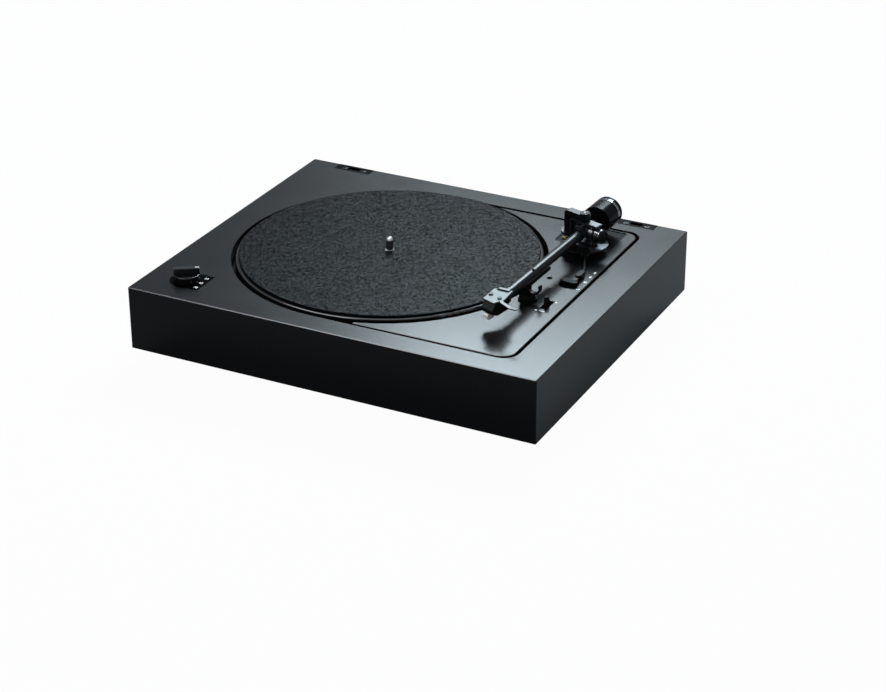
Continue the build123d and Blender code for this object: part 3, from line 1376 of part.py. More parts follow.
with BuildPart() as pivot_nut:
    with BuildSketch(level(TOP + BEAM_TOP)):
        with Locations(AT_PIVOT):
            Circle(NUT_R)
            Circle(2.5, mode=Mode.SUBTRACT)
            with PolarLocations(NUT_R, 2, start_angle=YOKE_TURN):
                Rectangle(2, 1.2, mode=Mode.SUBTRACT)
    extrude(amount=NUT_T)
pivot_nut.part.label = "pivot_nut"
export_step(pivot_nut.part, "parts/pivot_nut.step")

with BuildPart() as gimbal_ring:
    with BuildSketch(YOKE):
        with Locations(((GIMBAL_LEFT + GIMBAL_RIGHT) / 2, (GIMBAL_LOW + GIMBAL_TOP) / 2)):
            RectangleRounded(GIMBAL_RIGHT - GIMBAL_LEFT, GIMBAL_TOP - GIMBAL_LOW, 2.4)
            RectangleRounded(
                GIMBAL_RIGHT - GIMBAL_LEFT - 2 * GIMBAL_T,
                GIMBAL_TOP - GIMBAL_LOW - 2 * GIMBAL_T,
                0.8,
                mode=Mode.SUBTRACT,
            )
        with Locations(((GIMBAL_RIGHT + GIMBAL_LUG) / 2 - 1.5, GIMBAL_TOP - GIMBAL_T / 2)):
            Rectangle(GIMBAL_LUG - GIMBAL_RIGHT + 3, GIMBAL_T)
    extrude(amount=GIMBAL_DEPTH / 2, both=True)
    # holes of the vertical pivots
    with Locations((PIVOT_X, PIVOT_Y, TOP + GIMBAL_TOP)):
        Hole(GIMBAL_PIN_R + GIMBAL_PIN_FIT, depth=GIMBAL_T)
    with Locations((PIVOT_X, PIVOT_Y, TOP + GIMBAL_LOW + GIMBAL_T)):
        Hole(LOWER_PIN_R + GIMBAL_PIN_FIT, depth=GIMBAL_T)
    # boss of the force dial, then the holes of the tilt pins
    with BuildSketch(TILT.offset(GIMBAL_RIGHT)):
        Circle(3)
    extrude(amount=6)
    with BuildSketch(TILT.offset(GIMBAL_LEFT)):
        Circle(GIMBAL_PIN_R + GIMBAL_PIN_FIT)
    extrude(amount=GIMBAL_RIGHT - GIMBAL_LEFT, mode=Mode.SUBTRACT)
gimbal_ring.part.label = "gimbal_ring"
export_step(gimbal_ring.part, "parts/gimbal_ring.step")

with BuildPart() as spring_barrel:
    with BuildSketch(TILT.offset(BLOCK_HALF + 0.4)):
        Circle(BARREL_R)
        Circle(GIMBAL_PIN_R + 0.1, mode=Mode.SUBTRACT)
    extrude(amount=GIMBAL_RIGHT - GIMBAL_T - BLOCK_HALF - 0.4)
    for step in (1.4, 2.8):
        with BuildSketch(TILT.offset(BLOCK_HALF + 0.4 + step)):
            Circle(BARREL_R)
            Circle(BARREL_R - 0.5, mode=Mode.SUBTRACT)
        extrude(amount=0.6, mode=Mode.SUBTRACT)
spring_barrel.part.label = "spring_barrel"
export_step(spring_barrel.part, "parts/spring_barrel.step")

with BuildPart() as force_dial:
    with BuildSketch(TILT.offset(DIAL_IN)):
        Circle(DIAL_R)
    extrude(amount=DIAL_OUT - DIAL_IN)
    chamfer(force_dial.edges().filter_by(GeomType.CIRCLE), 0.5)
    for ring_at in (2.2, 4.4, 6.6):
        with BuildSketch(TILT.offset(DIAL_IN + ring_at)):
            Circle(DIAL_R)
            Circle(DIAL_R - 0.4, mode=Mode.SUBTRACT)
        extrude(amount=0.7, mode=Mode.SUBTRACT)
    with BuildSketch(TILT.offset(DIAL_IN)):
        Circle(3 + GIMBAL_PIN_FIT)
    extrude(amount=GIMBAL_RIGHT + 6.3 - DIAL_IN, mode=Mode.SUBTRACT)
    with BuildSketch(TILT.offset(DIAL_OUT - 0.6)):
        Circle(DIAL_R - 1.6)
        Circle(2.2, mode=Mode.SUBTRACT)
    extrude(amount=0.6, mode=Mode.SUBTRACT)
force_dial.part.label = "force_dial"
export_step(force_dial.part, "parts/force_dial.step")

# ---------------------------------------------------------------- tilting arm
TUBE_START = 9.0
SOCKET_END = 14.5
TAIL_START = 10.0
with BuildPart() as pivot_block:
    with BuildSketch(TILT.offset(-BLOCK_HALF)):
        Circle(BLOCK_R)
    extrude(amount=2 * BLOCK_HALF)
    with BuildSketch(TUBE):
        Circle(BLOCK_R + 0.2)
    extrude(amount=SOCKET_END)
    with BuildSketch(TUBE.offset(-TAIL_START)):
        Circle(BLOCK_R)
    extrude(amount=TAIL_START)
    with BuildSketch(TUBE.offset(TUBE_START)):
        Circle(TUBE_R + 0.02)
    extrude(amount=SOCKET_END - TUBE_START, mode=Mode.SUBTRACT)
    with BuildSketch(TILT.offset(GIMBAL_LEFT + 0.2)):
        Circle(GIMBAL_PIN_R)
    extrude(amount=GIMBAL_RIGHT - GIMBAL_LEFT - 0.4)
pivot_block.part.label = "pivot_block"
export_step(pivot_block.part, "parts/pivot_block.step")

with BuildPart() as arm_tube:
    with BuildSketch(TUBE.offset(TUBE_START)):
        Circle(TUBE_R)
        Circle(TUBE_R - TUBE_WALL, mode=Mode.SUBTRACT)
    extrude(amount=ARM_REACH - TUBE_START)
    # ferrule at the headshell end
    with BuildSketch(TUBE.offset(ARM_REACH - 8)):
        Circle(TUBE_R + 0.9)
        Circle(TUBE_R - TUBE_WALL, mode=Mode.SUBTRACT)
    extrude(amount=8)
arm_tube.part.label = "arm_tube"
export_step(arm_tube.part, "parts/arm_tube.step")

with BuildPart() as stub_shaft:
    with BuildSketch(TUBE.offset(-TAIL_START - STUB_L)):
        Circle(STUB_R)
    extrude(amount=STUB_L)
    chamfer(stub_shaft.faces().sort_by(Axis.Y)[-1].edges(), 0.8)
stub_shaft.part.label = "stub_shaft"
export_step(stub_shaft.part, "parts/stub_shaft.step")

BUSH_REACH = 4.0
with BuildPart() as weight_bush:
    with BuildSketch(TUBE.offset(-WEIGHT_START - WEIGHT_L + 8)):
        Circle(WEIGHT_HUB_R)
        Circle(STUB_R + RUN_FIT, mode=Mode.SUBTRACT)
    extrude(amount=WEIGHT_L - 8 - BUSH_REACH)
weight_bush.part.label = "weight_bush"
export_step(weight_bush.part, "parts/weight_bush.step")

with BuildPart() as counterweight:
    with BuildSketch(TUBE.offset(-WEIGHT_START - WEIGHT_L)):
        Circle(WEIGHT_R)
        Circle(WEIGHT_HUB_R + GIMBAL_PIN_FIT, mode=Mode.SUBTRACT)
    extrude(amount=WEIGHT_L)
    chamfer(counterweight.edges().filter_by(GeomType.CIRCLE).group_by(Axis.Y)[0], 0.8)
    with BuildSketch(TUBE.offset(-WEIGHT_START - BUSH_REACH + 0.2)):
        Circle(WEIGHT_HUB_R + 1)
        Circle(STUB_R + 0.6, mode=Mode.SUBTRACT)
    extrude(amount=BUSH_REACH - 0.2)
    # machined grooves near the rear rim, and the recessed rear face
    for groove_at in (5.0, 7.0):
        with BuildSketch(TUBE.offset(-WEIGHT_START - WEIGHT_L + groove_at)):
            Circle(WEIGHT_R)
            Circle(WEIGHT_R - 0.5, mode=Mode.SUBTRACT)
        extrude(amount=0.8, mode=Mode.SUBTRACT)
    with BuildSketch(TUBE.offset(-WEIGHT_START - WEIGHT_L)):
        Circle(WEIGHT_R - 3)
    extrude(amount=3, mode=Mode.SUBTRACT)
counterweight.part.label = "counterweight"
export_step(counterweight.part, "parts/counterweight.step")

# ---------------------------------------------------------------- headshell and pickup
TURN_HEAD = -23.0
SHELL_LOW = SHELL_TOP - SHELL_T
SHELL_CORNER = 1.2
PICKUP_SCREW_SPAN = 12.0
PICKUP_SCREW_R = 1.2


def from_tube_end(aside, forward):
    # a place measured from the front end of the arm tube
    return (
        PIVOT_X + ARM_REACH * AHEAD[0] + aside,
        PIVOT_Y + ARM_REACH * AHEAD[1] + forward,
    )


SHELL_POINTS = [
    from_tube_end(-10.0636, -25.3935),
    from_tube_end(-9.6636, -1.7935),
    from_tube_end(7.9364, 0.6065),
    from_tube_end(8.9364, -19.7935),
    from_tube_end(3.2364, -30.6935),
]
SHELL_SCREWS = [from_tube_end(-6.9636, -14.9935), from_tube_end(4.1364, -19.6935)]
PICKUP_AT = from_tube_end(-1.4136, -17.2935)
LIFT_PATH = [
    (*from_tube_end(7.3364, -23.3935), TOP + SHELL_TOP + 0.6),
    (*from_tube_end(10.5364, -27.8935), TOP + SHELL_TOP + 0.6),
    (*from_tube_end(20.3364, -30.7935), TOP + SHELL_TOP - 1.5),
    (*from_tube_end(27.4364, -31.9935), TOP + SHELL_TOP - 1.0),
]
with BuildPart() as headshell:
    with BuildSketch(level(TOP + SHELL_LOW)):
        with BuildLine():
            Polyline(*SHELL_POINTS, close=True)
        make_face()
        with Locations(*SHELL_SCREWS):
            Circle(PICKUP_SCREW_R + 0.1, mode=Mode.SUBTRACT)
    extrude(amount=SHELL_T)
    rounded = [
        edge
        for edge in headshell.edges().filter_by(Axis.Z)
        if edge.center().X < SHELL_POINTS[1][0] + 1 or edge.center().Y < SHELL_POINTS[0][1] - 2
    ]
    fillet(rounded, SHELL_CORNER)
    # rear socket block that takes the end of the tube
    with BuildSketch(TUBE.offset(ARM_REACH + 0.02)):
        with Locations((0, (SHELL_LOW - ARM_Z) / 2 - 1)):
            RectangleRounded(13, SHELL_LOW - ARM_Z + 8, 2)
    extrude(amount=3.4)
headshell.part.label = "headshell"
export_step(headshell.part, "parts/headshell.step")

with BuildPart() as finger_lift:
    with BuildLine() as lift_path:
        FilletPolyline(*LIFT_PATH, radius=2.0)
    with BuildSketch(Plane(origin=lift_path.line @ 0, z_dir=lift_path.line % 0)):
        Rectangle(3.2, 1.1)
    sweep(transition=Transition.ROUND)
finger_lift.part.label = "finger_lift"
export_step(finger_lift.part, "parts/finger_lift.step")

HEAD_PLANE = Plane(
    origin=(*PICKUP_AT, TOP),
    x_dir=(cos(radians(TURN_HEAD)), sin(radians(TURN_HEAD)), 0),
    z_dir=(0, 0, 1),
)
# section plane along the pickup, x forward and y up
PICKUP = Plane(
    origin=HEAD_PLANE.origin,
    x_dir=(sin(radians(TURN_HEAD)), -cos(radians(TURN_HEAD)), 0),
    z_dir=(-cos(radians(TURN_HEAD)), -sin(radians(TURN_HEAD)), 0),
)
with BuildPart() as cartridge:
    with BuildSketch(PICKUP):
        with BuildLine():
            Polyline(
                (-10, SHELL_LOW),
                (5.5, SHELL_LOW),
                (10.5, 18.5),
                (10.5, 14.5),
                (4, 12.0),
                (-10, 15.0),
                close=True,
            )
        make_face()
    extrude(amount=CARTRIDGE_W / 2, both=True)
    chamfer(cartridge.faces().sort_by(Axis.Z)[0].edges().filter_by(GeomType.LINE), 0.6)
    with BuildSketch(HEAD_PLANE.offset(SHELL_LOW)):
        with GridLocations(PICKUP_SCREW_SPAN, 0, 2, 1):
            Circle(PICKUP_SCREW_R + 0.05)
    extrude(amount=-8, mode=Mode.SUBTRACT)
cartridge.part.label = "cartridge"
export_step(cartridge.part, "parts/cartridge.step")

with BuildPart() as headshell_screws:
    with BuildSketch(HEAD_PLANE.offset(SHELL_TOP)):
        with GridLocations(PICKUP_SCREW_SPAN, 0, 2, 1):
            Circle(2.1)
    extrude(amount=1.3)
    with BuildSketch(HEAD_PLANE.offset(SHELL_TOP)):
        with GridLocations(PICKUP_SCREW_SPAN, 0, 2, 1):
            Circle(PICKUP_SCREW_R)
    extrude(amount=-SHELL_T - 7)
headshell_screws.part.label = "headshell_screws"
export_step(headshell_screws.part, "parts/headshell_screws.step")

with BuildPart() as stylus:
    with BuildSketch(PICKUP):
        with BuildLine():
            Polyline(
                (4.6, 12.0),
                (10.9, 14.0),
                (12.4, 13.0),
                (12.4, 9.6),
                (10.2, 8.4),
                (4.6, 9.4),
                close=True,
            )
        make_face()
    extrude(amount=3.2, both=True)
    tip_plane = Plane(HEAD_PLANE.offset(STYLUS_Z).origin + 10.6 * PICKUP.x_dir, z_dir=(0, 0, 1))
    with BuildSketch(tip_plane):
        Circle(0.18)
    extrude(amount=2.2)
stylus.part.label = "stylus"
export_step(stylus.part, "parts/stylus.step")

# ---------------------------------------------------------------- arm rest with its hooked clip
REST_TURN = -24.0
PEDESTAL_AT = (PIVOT_X - 1.6, REST_Y)
POST_X = PIVOT_X - 12.3  # end post of the guide rail
POST_Y = REST_Y + 32.7
POST_R = 2.0
CHEEK_TOP = 14.9
PEDESTAL_H = 7.0
CHEEK_T = 2.4
HINGE_PIN_R = 0.95
REST_PLANE = Plane(
    origin=(REST_X, REST_Y, TOP),
    x_dir=ASIDE,
    z_dir=AHEAD,
)
with BuildPart() as arm_rest:
    with BuildSketch(level_at(PEDESTAL_AT, TOP, REST_TURN)):
        RectangleRounded(15, 13, 1.5)
    extrude(amount=3)
    with BuildSketch(level_at(PEDESTAL_AT, TOP + 3, REST_TURN)):
        RectangleRounded(13.5, 12, 1.5)
    extrude(amount=PEDESTAL_H - 3, taper=15)
    # two cheeks with the cradle of the tube
    with BuildSketch(REST_PLANE.offset(-CLIP_W / 2 - 0.4 - CHEEK_T)):
        with BuildLine():
            Polyline((-4, 6), (4, 6), (4.5, CHEEK_TOP), (-4.5, CHEEK_TOP), close=True)
        make_face()
        with Locations((0, ARM_Z)):
            Circle(TUBE_R + 1.6, mode=Mode.SUBTRACT)
    extrude(amount=CLIP_W + 0.8 + 2 * CHEEK_T)
    with BuildSketch(REST_PLANE.offset(-CLIP_W / 2 - 0.4)):
        with Locations((2, (CHEEK_TOP + PEDESTAL_H) / 2 + 0.2)):
            Rectangle(14, CHEEK_TOP - PEDESTAL_H + 0.4)
    extrude(amount=CLIP_W + 0.8, mode=Mode.SUBTRACT)
    with BuildSketch(REST_PLANE.offset(-CLIP_W / 2 - 0.4 - CHEEK_T)):
        with Locations((0, HINGE_Z)):
            Circle(HINGE_PIN_R)
    extrude(amount=CLIP_W + 0.8 + 2 * CHEEK_T)
    # guide rail under the tube, with its end post
    with BuildSketch(REST_PLANE.offset(-50)):
        with Locations((0, 12.6)):
            RectangleRounded(4, 3.2, 0.6)
    extrude(amount=50 - CLIP_W / 2 - 0.4 - CHEEK_T)
    with BuildSketch(level(TOP + 11.1)):
        with Locations((POST_X + 4.5, POST_Y)):
            Rectangle(10, 3)
        with Locations((POST_X, POST_Y)):
            Circle(POST_R)
    extrude(amount=2.6)
    with BuildSketch(level(TOP + 12)):
        with Locations((POST_X, POST_Y)):
            Circle(POST_R * 0.6)
    extrude(amount=3)
arm_rest.part.label = "arm_rest"
export_step(arm_rest.part, "parts/arm_rest.step")

with BuildPart() as rest_clip:
    with BuildSketch(REST_PLANE.offset(-CLIP_W / 2)):
        with Locations((CLIP_SIDE, CLIP_Z)):
            Circle(CLIP_R + CLIP_T)
        with BuildSketch(mode=Mode.PRIVATE) as neck:
            with Locations((0, HINGE_Z)):
                Circle(2.2)
            with Locations((CLIP_SIDE - CLIP_R - 0.8, CLIP_Z - 3.4)):
                Circle(1.0)
            make_hull()
        add(neck.sketch)
        with Locations((CLIP_SIDE, CLIP_Z)):
            Circle(CLIP_R, mode=Mode.SUBTRACT)
        with BuildSketch(mode=Mode.PRIVATE) as mouth:
            with Locations(Location((CLIP_SIDE, CLIP_Z), 26)):
                Rectangle(40, 20, align=(Align.CENTER, Align.MIN))
        add(mouth.sketch, mode=Mode.SUBTRACT)
        with Locations((0, HINGE_Z)):
            Circle(HINGE_PIN_R + GIMBAL_PIN_FIT, mode=Mode.SUBTRACT)
    extrude(amount=CLIP_W)
rest_clip.part.label = "rest_clip"
export_step(rest_clip.part, "parts/rest_clip.step")

# ---------------------------------------------------------------- cue lever and lift
with BuildPart() as cue_lever:
    with BuildSketch(CUE_PLANE):
        Circle(CUE_HUB_R)
        Circle(CUE_PIN_R + GIMBAL_PIN_FIT, mode=Mode.SUBTRACT)
    extrude(amount=CUE_HUB_W / 2, both=True)
with BuildPart() as cue_rod:
    with BuildLine() as rod_path:
        FilletPolyline(
            (CUE_X + 1.8 * CUE_PLANE.x_dir.X, CUE_Y + 1.8 * CUE_PLANE.x_dir.Y, TOP + CUE_Z),
            (ROD_X, CUE_Y - 30.5, TOP + 4.2),
            (ROD_X, CUE_Y - 46.5, TOP + 4.0),
            radius=10,
        )
    with BuildSketch(Plane(origin=rod_path.line @ 0, z_dir=rod_path.line % 0)):
        Circle(1.25)
    sweep()
with BuildPart() as cue_tip:
    with BuildSketch(level(TOP + 3.1)):
        with Locations((ROD_X, CUE_Y - 40)):
            SlotOverall(15, 6, rotation=90)
    extrude(amount=2.2)
    fillet(cue_tip.faces().sort_by(Axis.Z)[-1].edges(), 0.6)
cue_lever.part = cue_lever.part + cue_rod.part + cue_tip.part
cue_lever.part.label = "cue_lever"
export_step(cue_lever.part, "parts/cue_lever.step")

with BuildPart() as lift_platform:
    with BuildSketch(level_at(AT_PIVOT, TOP + LIFT_Z)):
        Circle(LIFT_R1)
        Circle(LIFT_R0, mode=Mode.SUBTRACT)
        with BuildSketch(mode=Mode.PRIVATE) as sector:
            with BuildLine():
                CenterArc((0, 0), 2 * LIFT_R1, -138, 53)
                Line((0, 0), PolarLine((0, 0), 2 * LIFT_R1, -138) @ 1)
                Line((0, 0), PolarLine((0, 0), 2 * LIFT_R1, -85) @ 1)
            make_face()
        add(sector.sketch, mode=Mode.INTERSECT)
    extrude(amount=LIFT_T)
    with BuildSketch(level(TOP - 10)):
        with Locations(PLUNGER_AT):
            Circle(PLUNGER_R)
    extrude(amount=10 + LIFT_Z + 0.5)
lift_platform.part.label = "lift_platform"
export_step(lift_platform.part, "parts/lift_platform.step")
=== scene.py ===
# %% [markdown]
# # A belt-drive record player, dressed for a studio picture
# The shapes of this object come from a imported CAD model: a lacquered plinth, a pressed chassis that floats
# in it on rubber, a platter with a felt mat, and a tonearm that swings in a gimbal. This lesson gives each
# of those parts the finish that it has on a real player, adds the small printed marks, wires and fittings
# that are too fine for CAD, and lights the whole like a product on a sweep of white paper. Lengths are in
# metres, as Blender keeps them, so `MM` turns millimetres into metres.

# %% Frame and units
import bpy
import bmesh
import json
import math
from mathutils import Matrix, Vector


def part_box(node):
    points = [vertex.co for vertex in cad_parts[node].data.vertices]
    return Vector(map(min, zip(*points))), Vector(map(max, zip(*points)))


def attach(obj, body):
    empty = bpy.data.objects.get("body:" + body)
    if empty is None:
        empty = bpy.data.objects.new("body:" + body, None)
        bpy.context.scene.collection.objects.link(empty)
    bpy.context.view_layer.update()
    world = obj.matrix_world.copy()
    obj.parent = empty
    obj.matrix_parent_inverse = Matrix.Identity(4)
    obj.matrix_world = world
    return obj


MM = 0.001
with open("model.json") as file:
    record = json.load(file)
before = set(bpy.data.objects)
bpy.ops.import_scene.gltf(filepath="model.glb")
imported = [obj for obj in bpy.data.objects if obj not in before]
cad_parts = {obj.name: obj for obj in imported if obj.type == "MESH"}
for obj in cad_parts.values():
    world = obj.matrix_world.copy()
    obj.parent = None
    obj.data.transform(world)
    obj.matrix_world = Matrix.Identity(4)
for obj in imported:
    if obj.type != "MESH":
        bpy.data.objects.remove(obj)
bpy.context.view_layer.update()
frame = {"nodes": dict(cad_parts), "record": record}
nodes = frame["nodes"]
record = frame["record"]

# %% [markdown]
# Colours are written as the hex values that a colour picker shows. Shaders work in linear light, so one
# function undoes the display's curve. The same function serves every finish below.

# %% Colour helper
def linear(hex_code):
    """Linear RGBA of an sRGB hex colour."""
    parts = [int(hex_code[i:i + 2], 16) / 255.0 for i in (1, 3, 5)]
    return [c / 12.92 if c <= 0.04045 else ((c + 0.055) / 1.055) ** 2.4 for c in parts] + [1.0]


print("mid grey #808080 is", round(linear("#808080")[0], 3), "in linear light")

# %% [markdown]
# A material is a small graph of nodes. Two helpers keep the recipes short: one adds any node with its
# settings and the links that feed it, and the other starts a material whose last node is a Principled
# surface. The frame's nodes all sit at the origin with their place in the mesh, so Object coordinates are
# real metres on the whole player, and a pattern's scale is simply one over its real size.

# %% Node helpers
def put(tree, kind, settings=None, links=None):
    """Adds one node with its settings, which are properties or constant sockets, and the links into it."""
    made = tree.nodes.new("ShaderNode" + kind)
    for name, value in (settings or {}).items():
        if isinstance(name, int) or name in made.inputs:
            made.inputs[name].default_value = value
        else:
            setattr(made, name, value)
    for name, source in (links or {}).items():
        tree.links.new(source, made.inputs[name])
    return made


def finish_named(name, surface):
    """A new material with a Principled surface: its material, tree, shader and place to measure patterns."""
    material = bpy.data.materials.new(name)
    material.use_nodes = True
    tree = material.node_tree
    tree.nodes.clear()
    shader = put(tree, "BsdfPrincipled", surface)
    put(tree, "OutputMaterial", links={"Surface": shader.outputs["BSDF"]})
    place = put(tree, "TexCoord").outputs["Object"]
    return material, tree, shader, place


def per_size(millimetres):
    """Texture scale whose features are this many millimetres across."""
    return 1.0 / (millimetres * MM)


# a Mix node set to colours takes them at these inputs, and gives their mix at this output
FIRST, SECOND, MIXED = 6, 7, 2
finishes = {}
print("a 2 mm pattern has scale", per_size(2.0))

# %% [markdown]
# **The plinth** is a board box sprayed with satin black lacquer. The lacquer holds a matting powder, which
# makes its skin rough at a scale of a few hundredths of a millimetre: lamps reflect as soft glows, and the
# surface reflection is weaker than that of clear gloss. Spraying leaves a faint orange peel, about 1.5 mm
# from crest to crest. That is a noise in the bump, and a slower noise in the roughness for where hands and
# cloths have polished it. Chamfers are polished most of all, so where the surface slopes at about 45
# degrees the reflection is that of bare gloss, and every edge is drawn by a thin pale line.

# %% Satin lacquer
# upward part of a chamfer's normal, how far from it still counts as a chamfer, and how wide a patch is that
# hands have polished
CHAMFER_SLOPE, SLOPE_SLACK, POLISHED_PATCH = 0.7, 0.2, 45.0


def satin_coat(name, colour, sheen_low, sheen_high, peel_mm, peel_height_mm, level, edge_level):
    """Satin sprayed coat over a fine orange peel. Chamfers reflect more: edge_level instead of level."""
    material, tree, shader, place = finish_named(name, {"Base Color": linear(colour), "IOR": 1.5})
    slope = put(tree, "SeparateXYZ", links={0: put(tree, "NewGeometry").outputs["True Normal"]})
    chamfer = put(tree, "Math", {"operation": "COMPARE", 1: CHAMFER_SLOPE, 2: SLOPE_SLACK},
                  {0: slope.outputs["Z"]})
    skin = put(tree, "MapRange", {"name": "skin", "To Min": level, "To Max": edge_level},
               {"Value": chamfer.outputs[0]})
    tree.links.new(skin.outputs["Result"], shader.inputs["Specular IOR Level"])
    drift = put(tree, "TexNoise", {"Scale": per_size(POLISHED_PATCH), "Detail": 3.0}, {"Vector": place})
    rough = put(tree, "MapRange", {"To Min": sheen_low, "To Max": sheen_high},
                {"Value": drift.outputs["Fac"]})
    peel = put(tree, "TexNoise", {"Scale": per_size(peel_mm), "Detail": 2.0}, {"Vector": place})
    bump = put(tree, "Bump", {"Strength": 0.5, "Distance": peel_height_mm * MM},
               {"Height": peel.outputs["Fac"]})
    tree.links.new(rough.outputs["Result"], shader.inputs["Roughness"])
    tree.links.new(bump.outputs["Normal"], shader.inputs["Normal"])
    return material


finishes["plinth_lacquer"] = satin_coat(
    "satin_black_lacquer", "#08090b", sheen_low=0.23, sheen_high=0.28, peel_mm=1.5, peel_height_mm=0.010,
    level=0.12, edge_level=0.80)
print("made", finishes["plinth_lacquer"].name)

# %% [markdown]
# ** The floating chassis** is pressed steel with a baked satin coat. It is the same black as the plinth, and
# a little smoother, because baked powder flows out before it sets. So the deck mirrors the arm above it as
# a blurred dark shape. Below the deck's level, in the sunk tray and the well, the coat's reflection is made
# much weaker, so they look darker. **The platter** is cast aluminium, turned true and painted.
# The paint is thinner and glossier over its turned corners, which gives the rim its sharp bright arc.

# %% Chassis and platter paint
# heights of the deck and of the sunk tray, how softly one turns into the other, and their reflections
DECK_LEVEL, TRAY_LEVEL, BLEND = 78.0 * MM, 77.2 * MM, 0.2 * MM
DECK_GLOSS, TRAY_GLOSS = 0.14, 0.03
chassis_coat = satin_coat(
    "baked_satin_steel", "#0a0b0d", sheen_low=0.21, sheen_high=0.26, peel_mm=1.1, peel_height_mm=0.006,
    level=DECK_GLOSS, edge_level=0.50)
tree = chassis_coat.node_tree
place = put(tree, "TexCoord").outputs["Object"]
height = put(tree, "SeparateXYZ", links={0: place})
# below the deck's level the reflection drops to TRAY_GLOSS, so the sunk tray and the well render darker
gloss_by_height = put(tree, "MapRange", {"From Min": TRAY_LEVEL + BLEND, "From Max": DECK_LEVEL - BLEND,
                                "To Min": TRAY_GLOSS, "To Max": DECK_GLOSS}, {"Value": height.outputs["Z"]})
tree.links.new(gloss_by_height.outputs["Result"], tree.nodes["skin"].inputs["To Min"])
finishes["chassis_paint"] = chassis_coat
finishes["platter_alloy"] = satin_coat(
    "painted_turned_alloy", "#0b0c0d", sheen_low=0.18, sheen_high=0.24, peel_mm=0.8, peel_height_mm=0.003,
    level=0.12, edge_level=1.00)
print("made", finishes["chassis_paint"].name, "and", finishes["platter_alloy"].name)

# %% [markdown]
# **The mat** is thin rubber flocked with short dark fibres. Felt swallows light between its fibres, so it
# looks matt from above. At a low angle the tips of the tufts catch a faint gloss, and there is only a trace
# of sheen, because the flock is short. So one noise drives three things: colour, gloss and bump. Single
# fibres are 0.02 mm thick, far too fine to show, so the nap is drawn as a 2.2 mm mottle of darker and paler
# tufts.

# %% Flocked felt
felt, tree, shader, place = finish_named("flocked_felt", {
    "IOR": 1.5, "Roughness": 0.26, "Sheen Weight": 0.002, "Sheen Roughness": 0.45,
    "Sheen Tint": linear("#cfd8e2")})
TUFT_MM, PILE_MM = 2.2, 0.5
tufts = put(tree, "TexNoise", {"Scale": per_size(TUFT_MM), "Detail": 3.0, "Roughness": 0.8},
            {"Vector": place})
contrast = put(tree, "MapRange", {"From Min": 0.40, "From Max": 0.66}, {"Value": tufts.outputs["Fac"]})
nap = put(tree, "Mix", {"data_type": "RGBA", FIRST: linear("#000000"), SECOND: linear("#131518")},
          {"Factor": contrast.outputs["Result"]})
gloss = put(tree, "MapRange", {"To Min": 0.001, "To Max": 0.038}, {"Value": contrast.outputs["Result"]})
tree.links.new(gloss.outputs["Result"], shader.inputs["Specular IOR Level"])
pile = put(tree, "Bump", {"Strength": 0.8, "Distance": PILE_MM * MM}, {"Height": tufts.outputs["Fac"]})
tree.links.new(nap.outputs[MIXED], shader.inputs["Base Color"])
tree.links.new(pile.outputs["Normal"], shader.inputs["Normal"])
finishes["mat_felt"] = felt
print("made", felt.name)

# %% [markdown]
# **Metals** differ by how they were cut. Turning leaves fine rings round the axis, brushing leaves long
# straight scratches, and blasting before anodising leaves a fine even grain. All three are one noise with a
# different stretch, which shifts the roughness and lifts the bump. A black film, dyed or oxidised, hides
# the metal, so its reflection is a clear skin's and not a mirror's: `film` is that skin's strength, and
# None leaves the metal bare.

# %% Metal helper
def worked_metal(name, colour, rough_low, rough_high, grain_mm, relief_mm, film=None):
    """Metal whose marks have these sizes along x, y and z: short across the marks, long along them."""
    surface = {"Metallic": 1.0} if film is None else {"Metallic": 0.0, "Specular IOR Level": film}
    material, tree, shader, place = finish_named(name, {"Base Color": linear(colour), **surface})
    stretch = put(tree, "Mapping", {"Scale": [per_size(size) for size in grain_mm]}, {"Vector": place})
    marks = put(tree, "TexNoise", {"Scale": 1.0, "Detail": 3.0, "Roughness": 0.6},
                {"Vector": stretch.outputs["Vector"]})
    rough = put(tree, "MapRange", {
        "From Min": 0.3, "From Max": 0.7, "To Min": rough_low, "To Max": rough_high},
        {"Value": marks.outputs["Fac"]})
    bump = put(tree, "Bump", {"Strength": 0.6, "Distance": relief_mm * MM}, {"Height": marks.outputs["Fac"]})
    tree.links.new(rough.outputs["Result"], shader.inputs["Roughness"])
    tree.links.new(bump.outputs["Normal"], shader.inputs["Normal"])
    return material


# polished and hard chromed: nearly a mirror, with a trace of turning
finishes["bright_steel"] = worked_metal(
    "chromed_steel", "#d3d5d8", rough_low=0.10, rough_high=0.18, grain_mm=(20.0, 20.0, 0.5),
    relief_mm=0.002)
# zinc plating dulls to a cloudy grey
finishes["zinc_screw"] = worked_metal(
    "zinc_plated_steel", "#a9acae", rough_low=0.30, rough_high=0.45, grain_mm=(1.5, 1.5, 1.5),
    relief_mm=0.01)
# oxide-blackened fasteners look oily and dark
finishes["black_screw"] = worked_metal(
    "blackened_steel", "#141415", rough_low=0.30, rough_high=0.42, grain_mm=(1.0, 1.0, 1.0), relief_mm=0.01,
    film=0.12)
# drawn rod, satin from the drawing die and then blackened
finishes["lever_steel"] = worked_metal(
    "blackened_rod", "#0b0c0d", rough_low=0.34, rough_high=0.44, grain_mm=(0.4, 8.0, 0.4), relief_mm=0.004,
    film=0.03)
# deep-drawn motor can
finishes["motor_steel"] = worked_metal(
    "pressed_motor_steel", "#a4a7aa", rough_low=0.28, rough_high=0.40, grain_mm=(6.0, 6.0, 1.0),
    relief_mm=0.01)
print("finishes so far:", len(finishes))

# %% [markdown]
# The tonearm is aluminium. Its tube and block are blasted and dyed black. The gimbal ring is dyed graphite,
# so that its edges catch the light. The headshell is left silver and brushed along the arm. The
# counterweight is turned steel under a black film, and the pulley and sockets are brass.

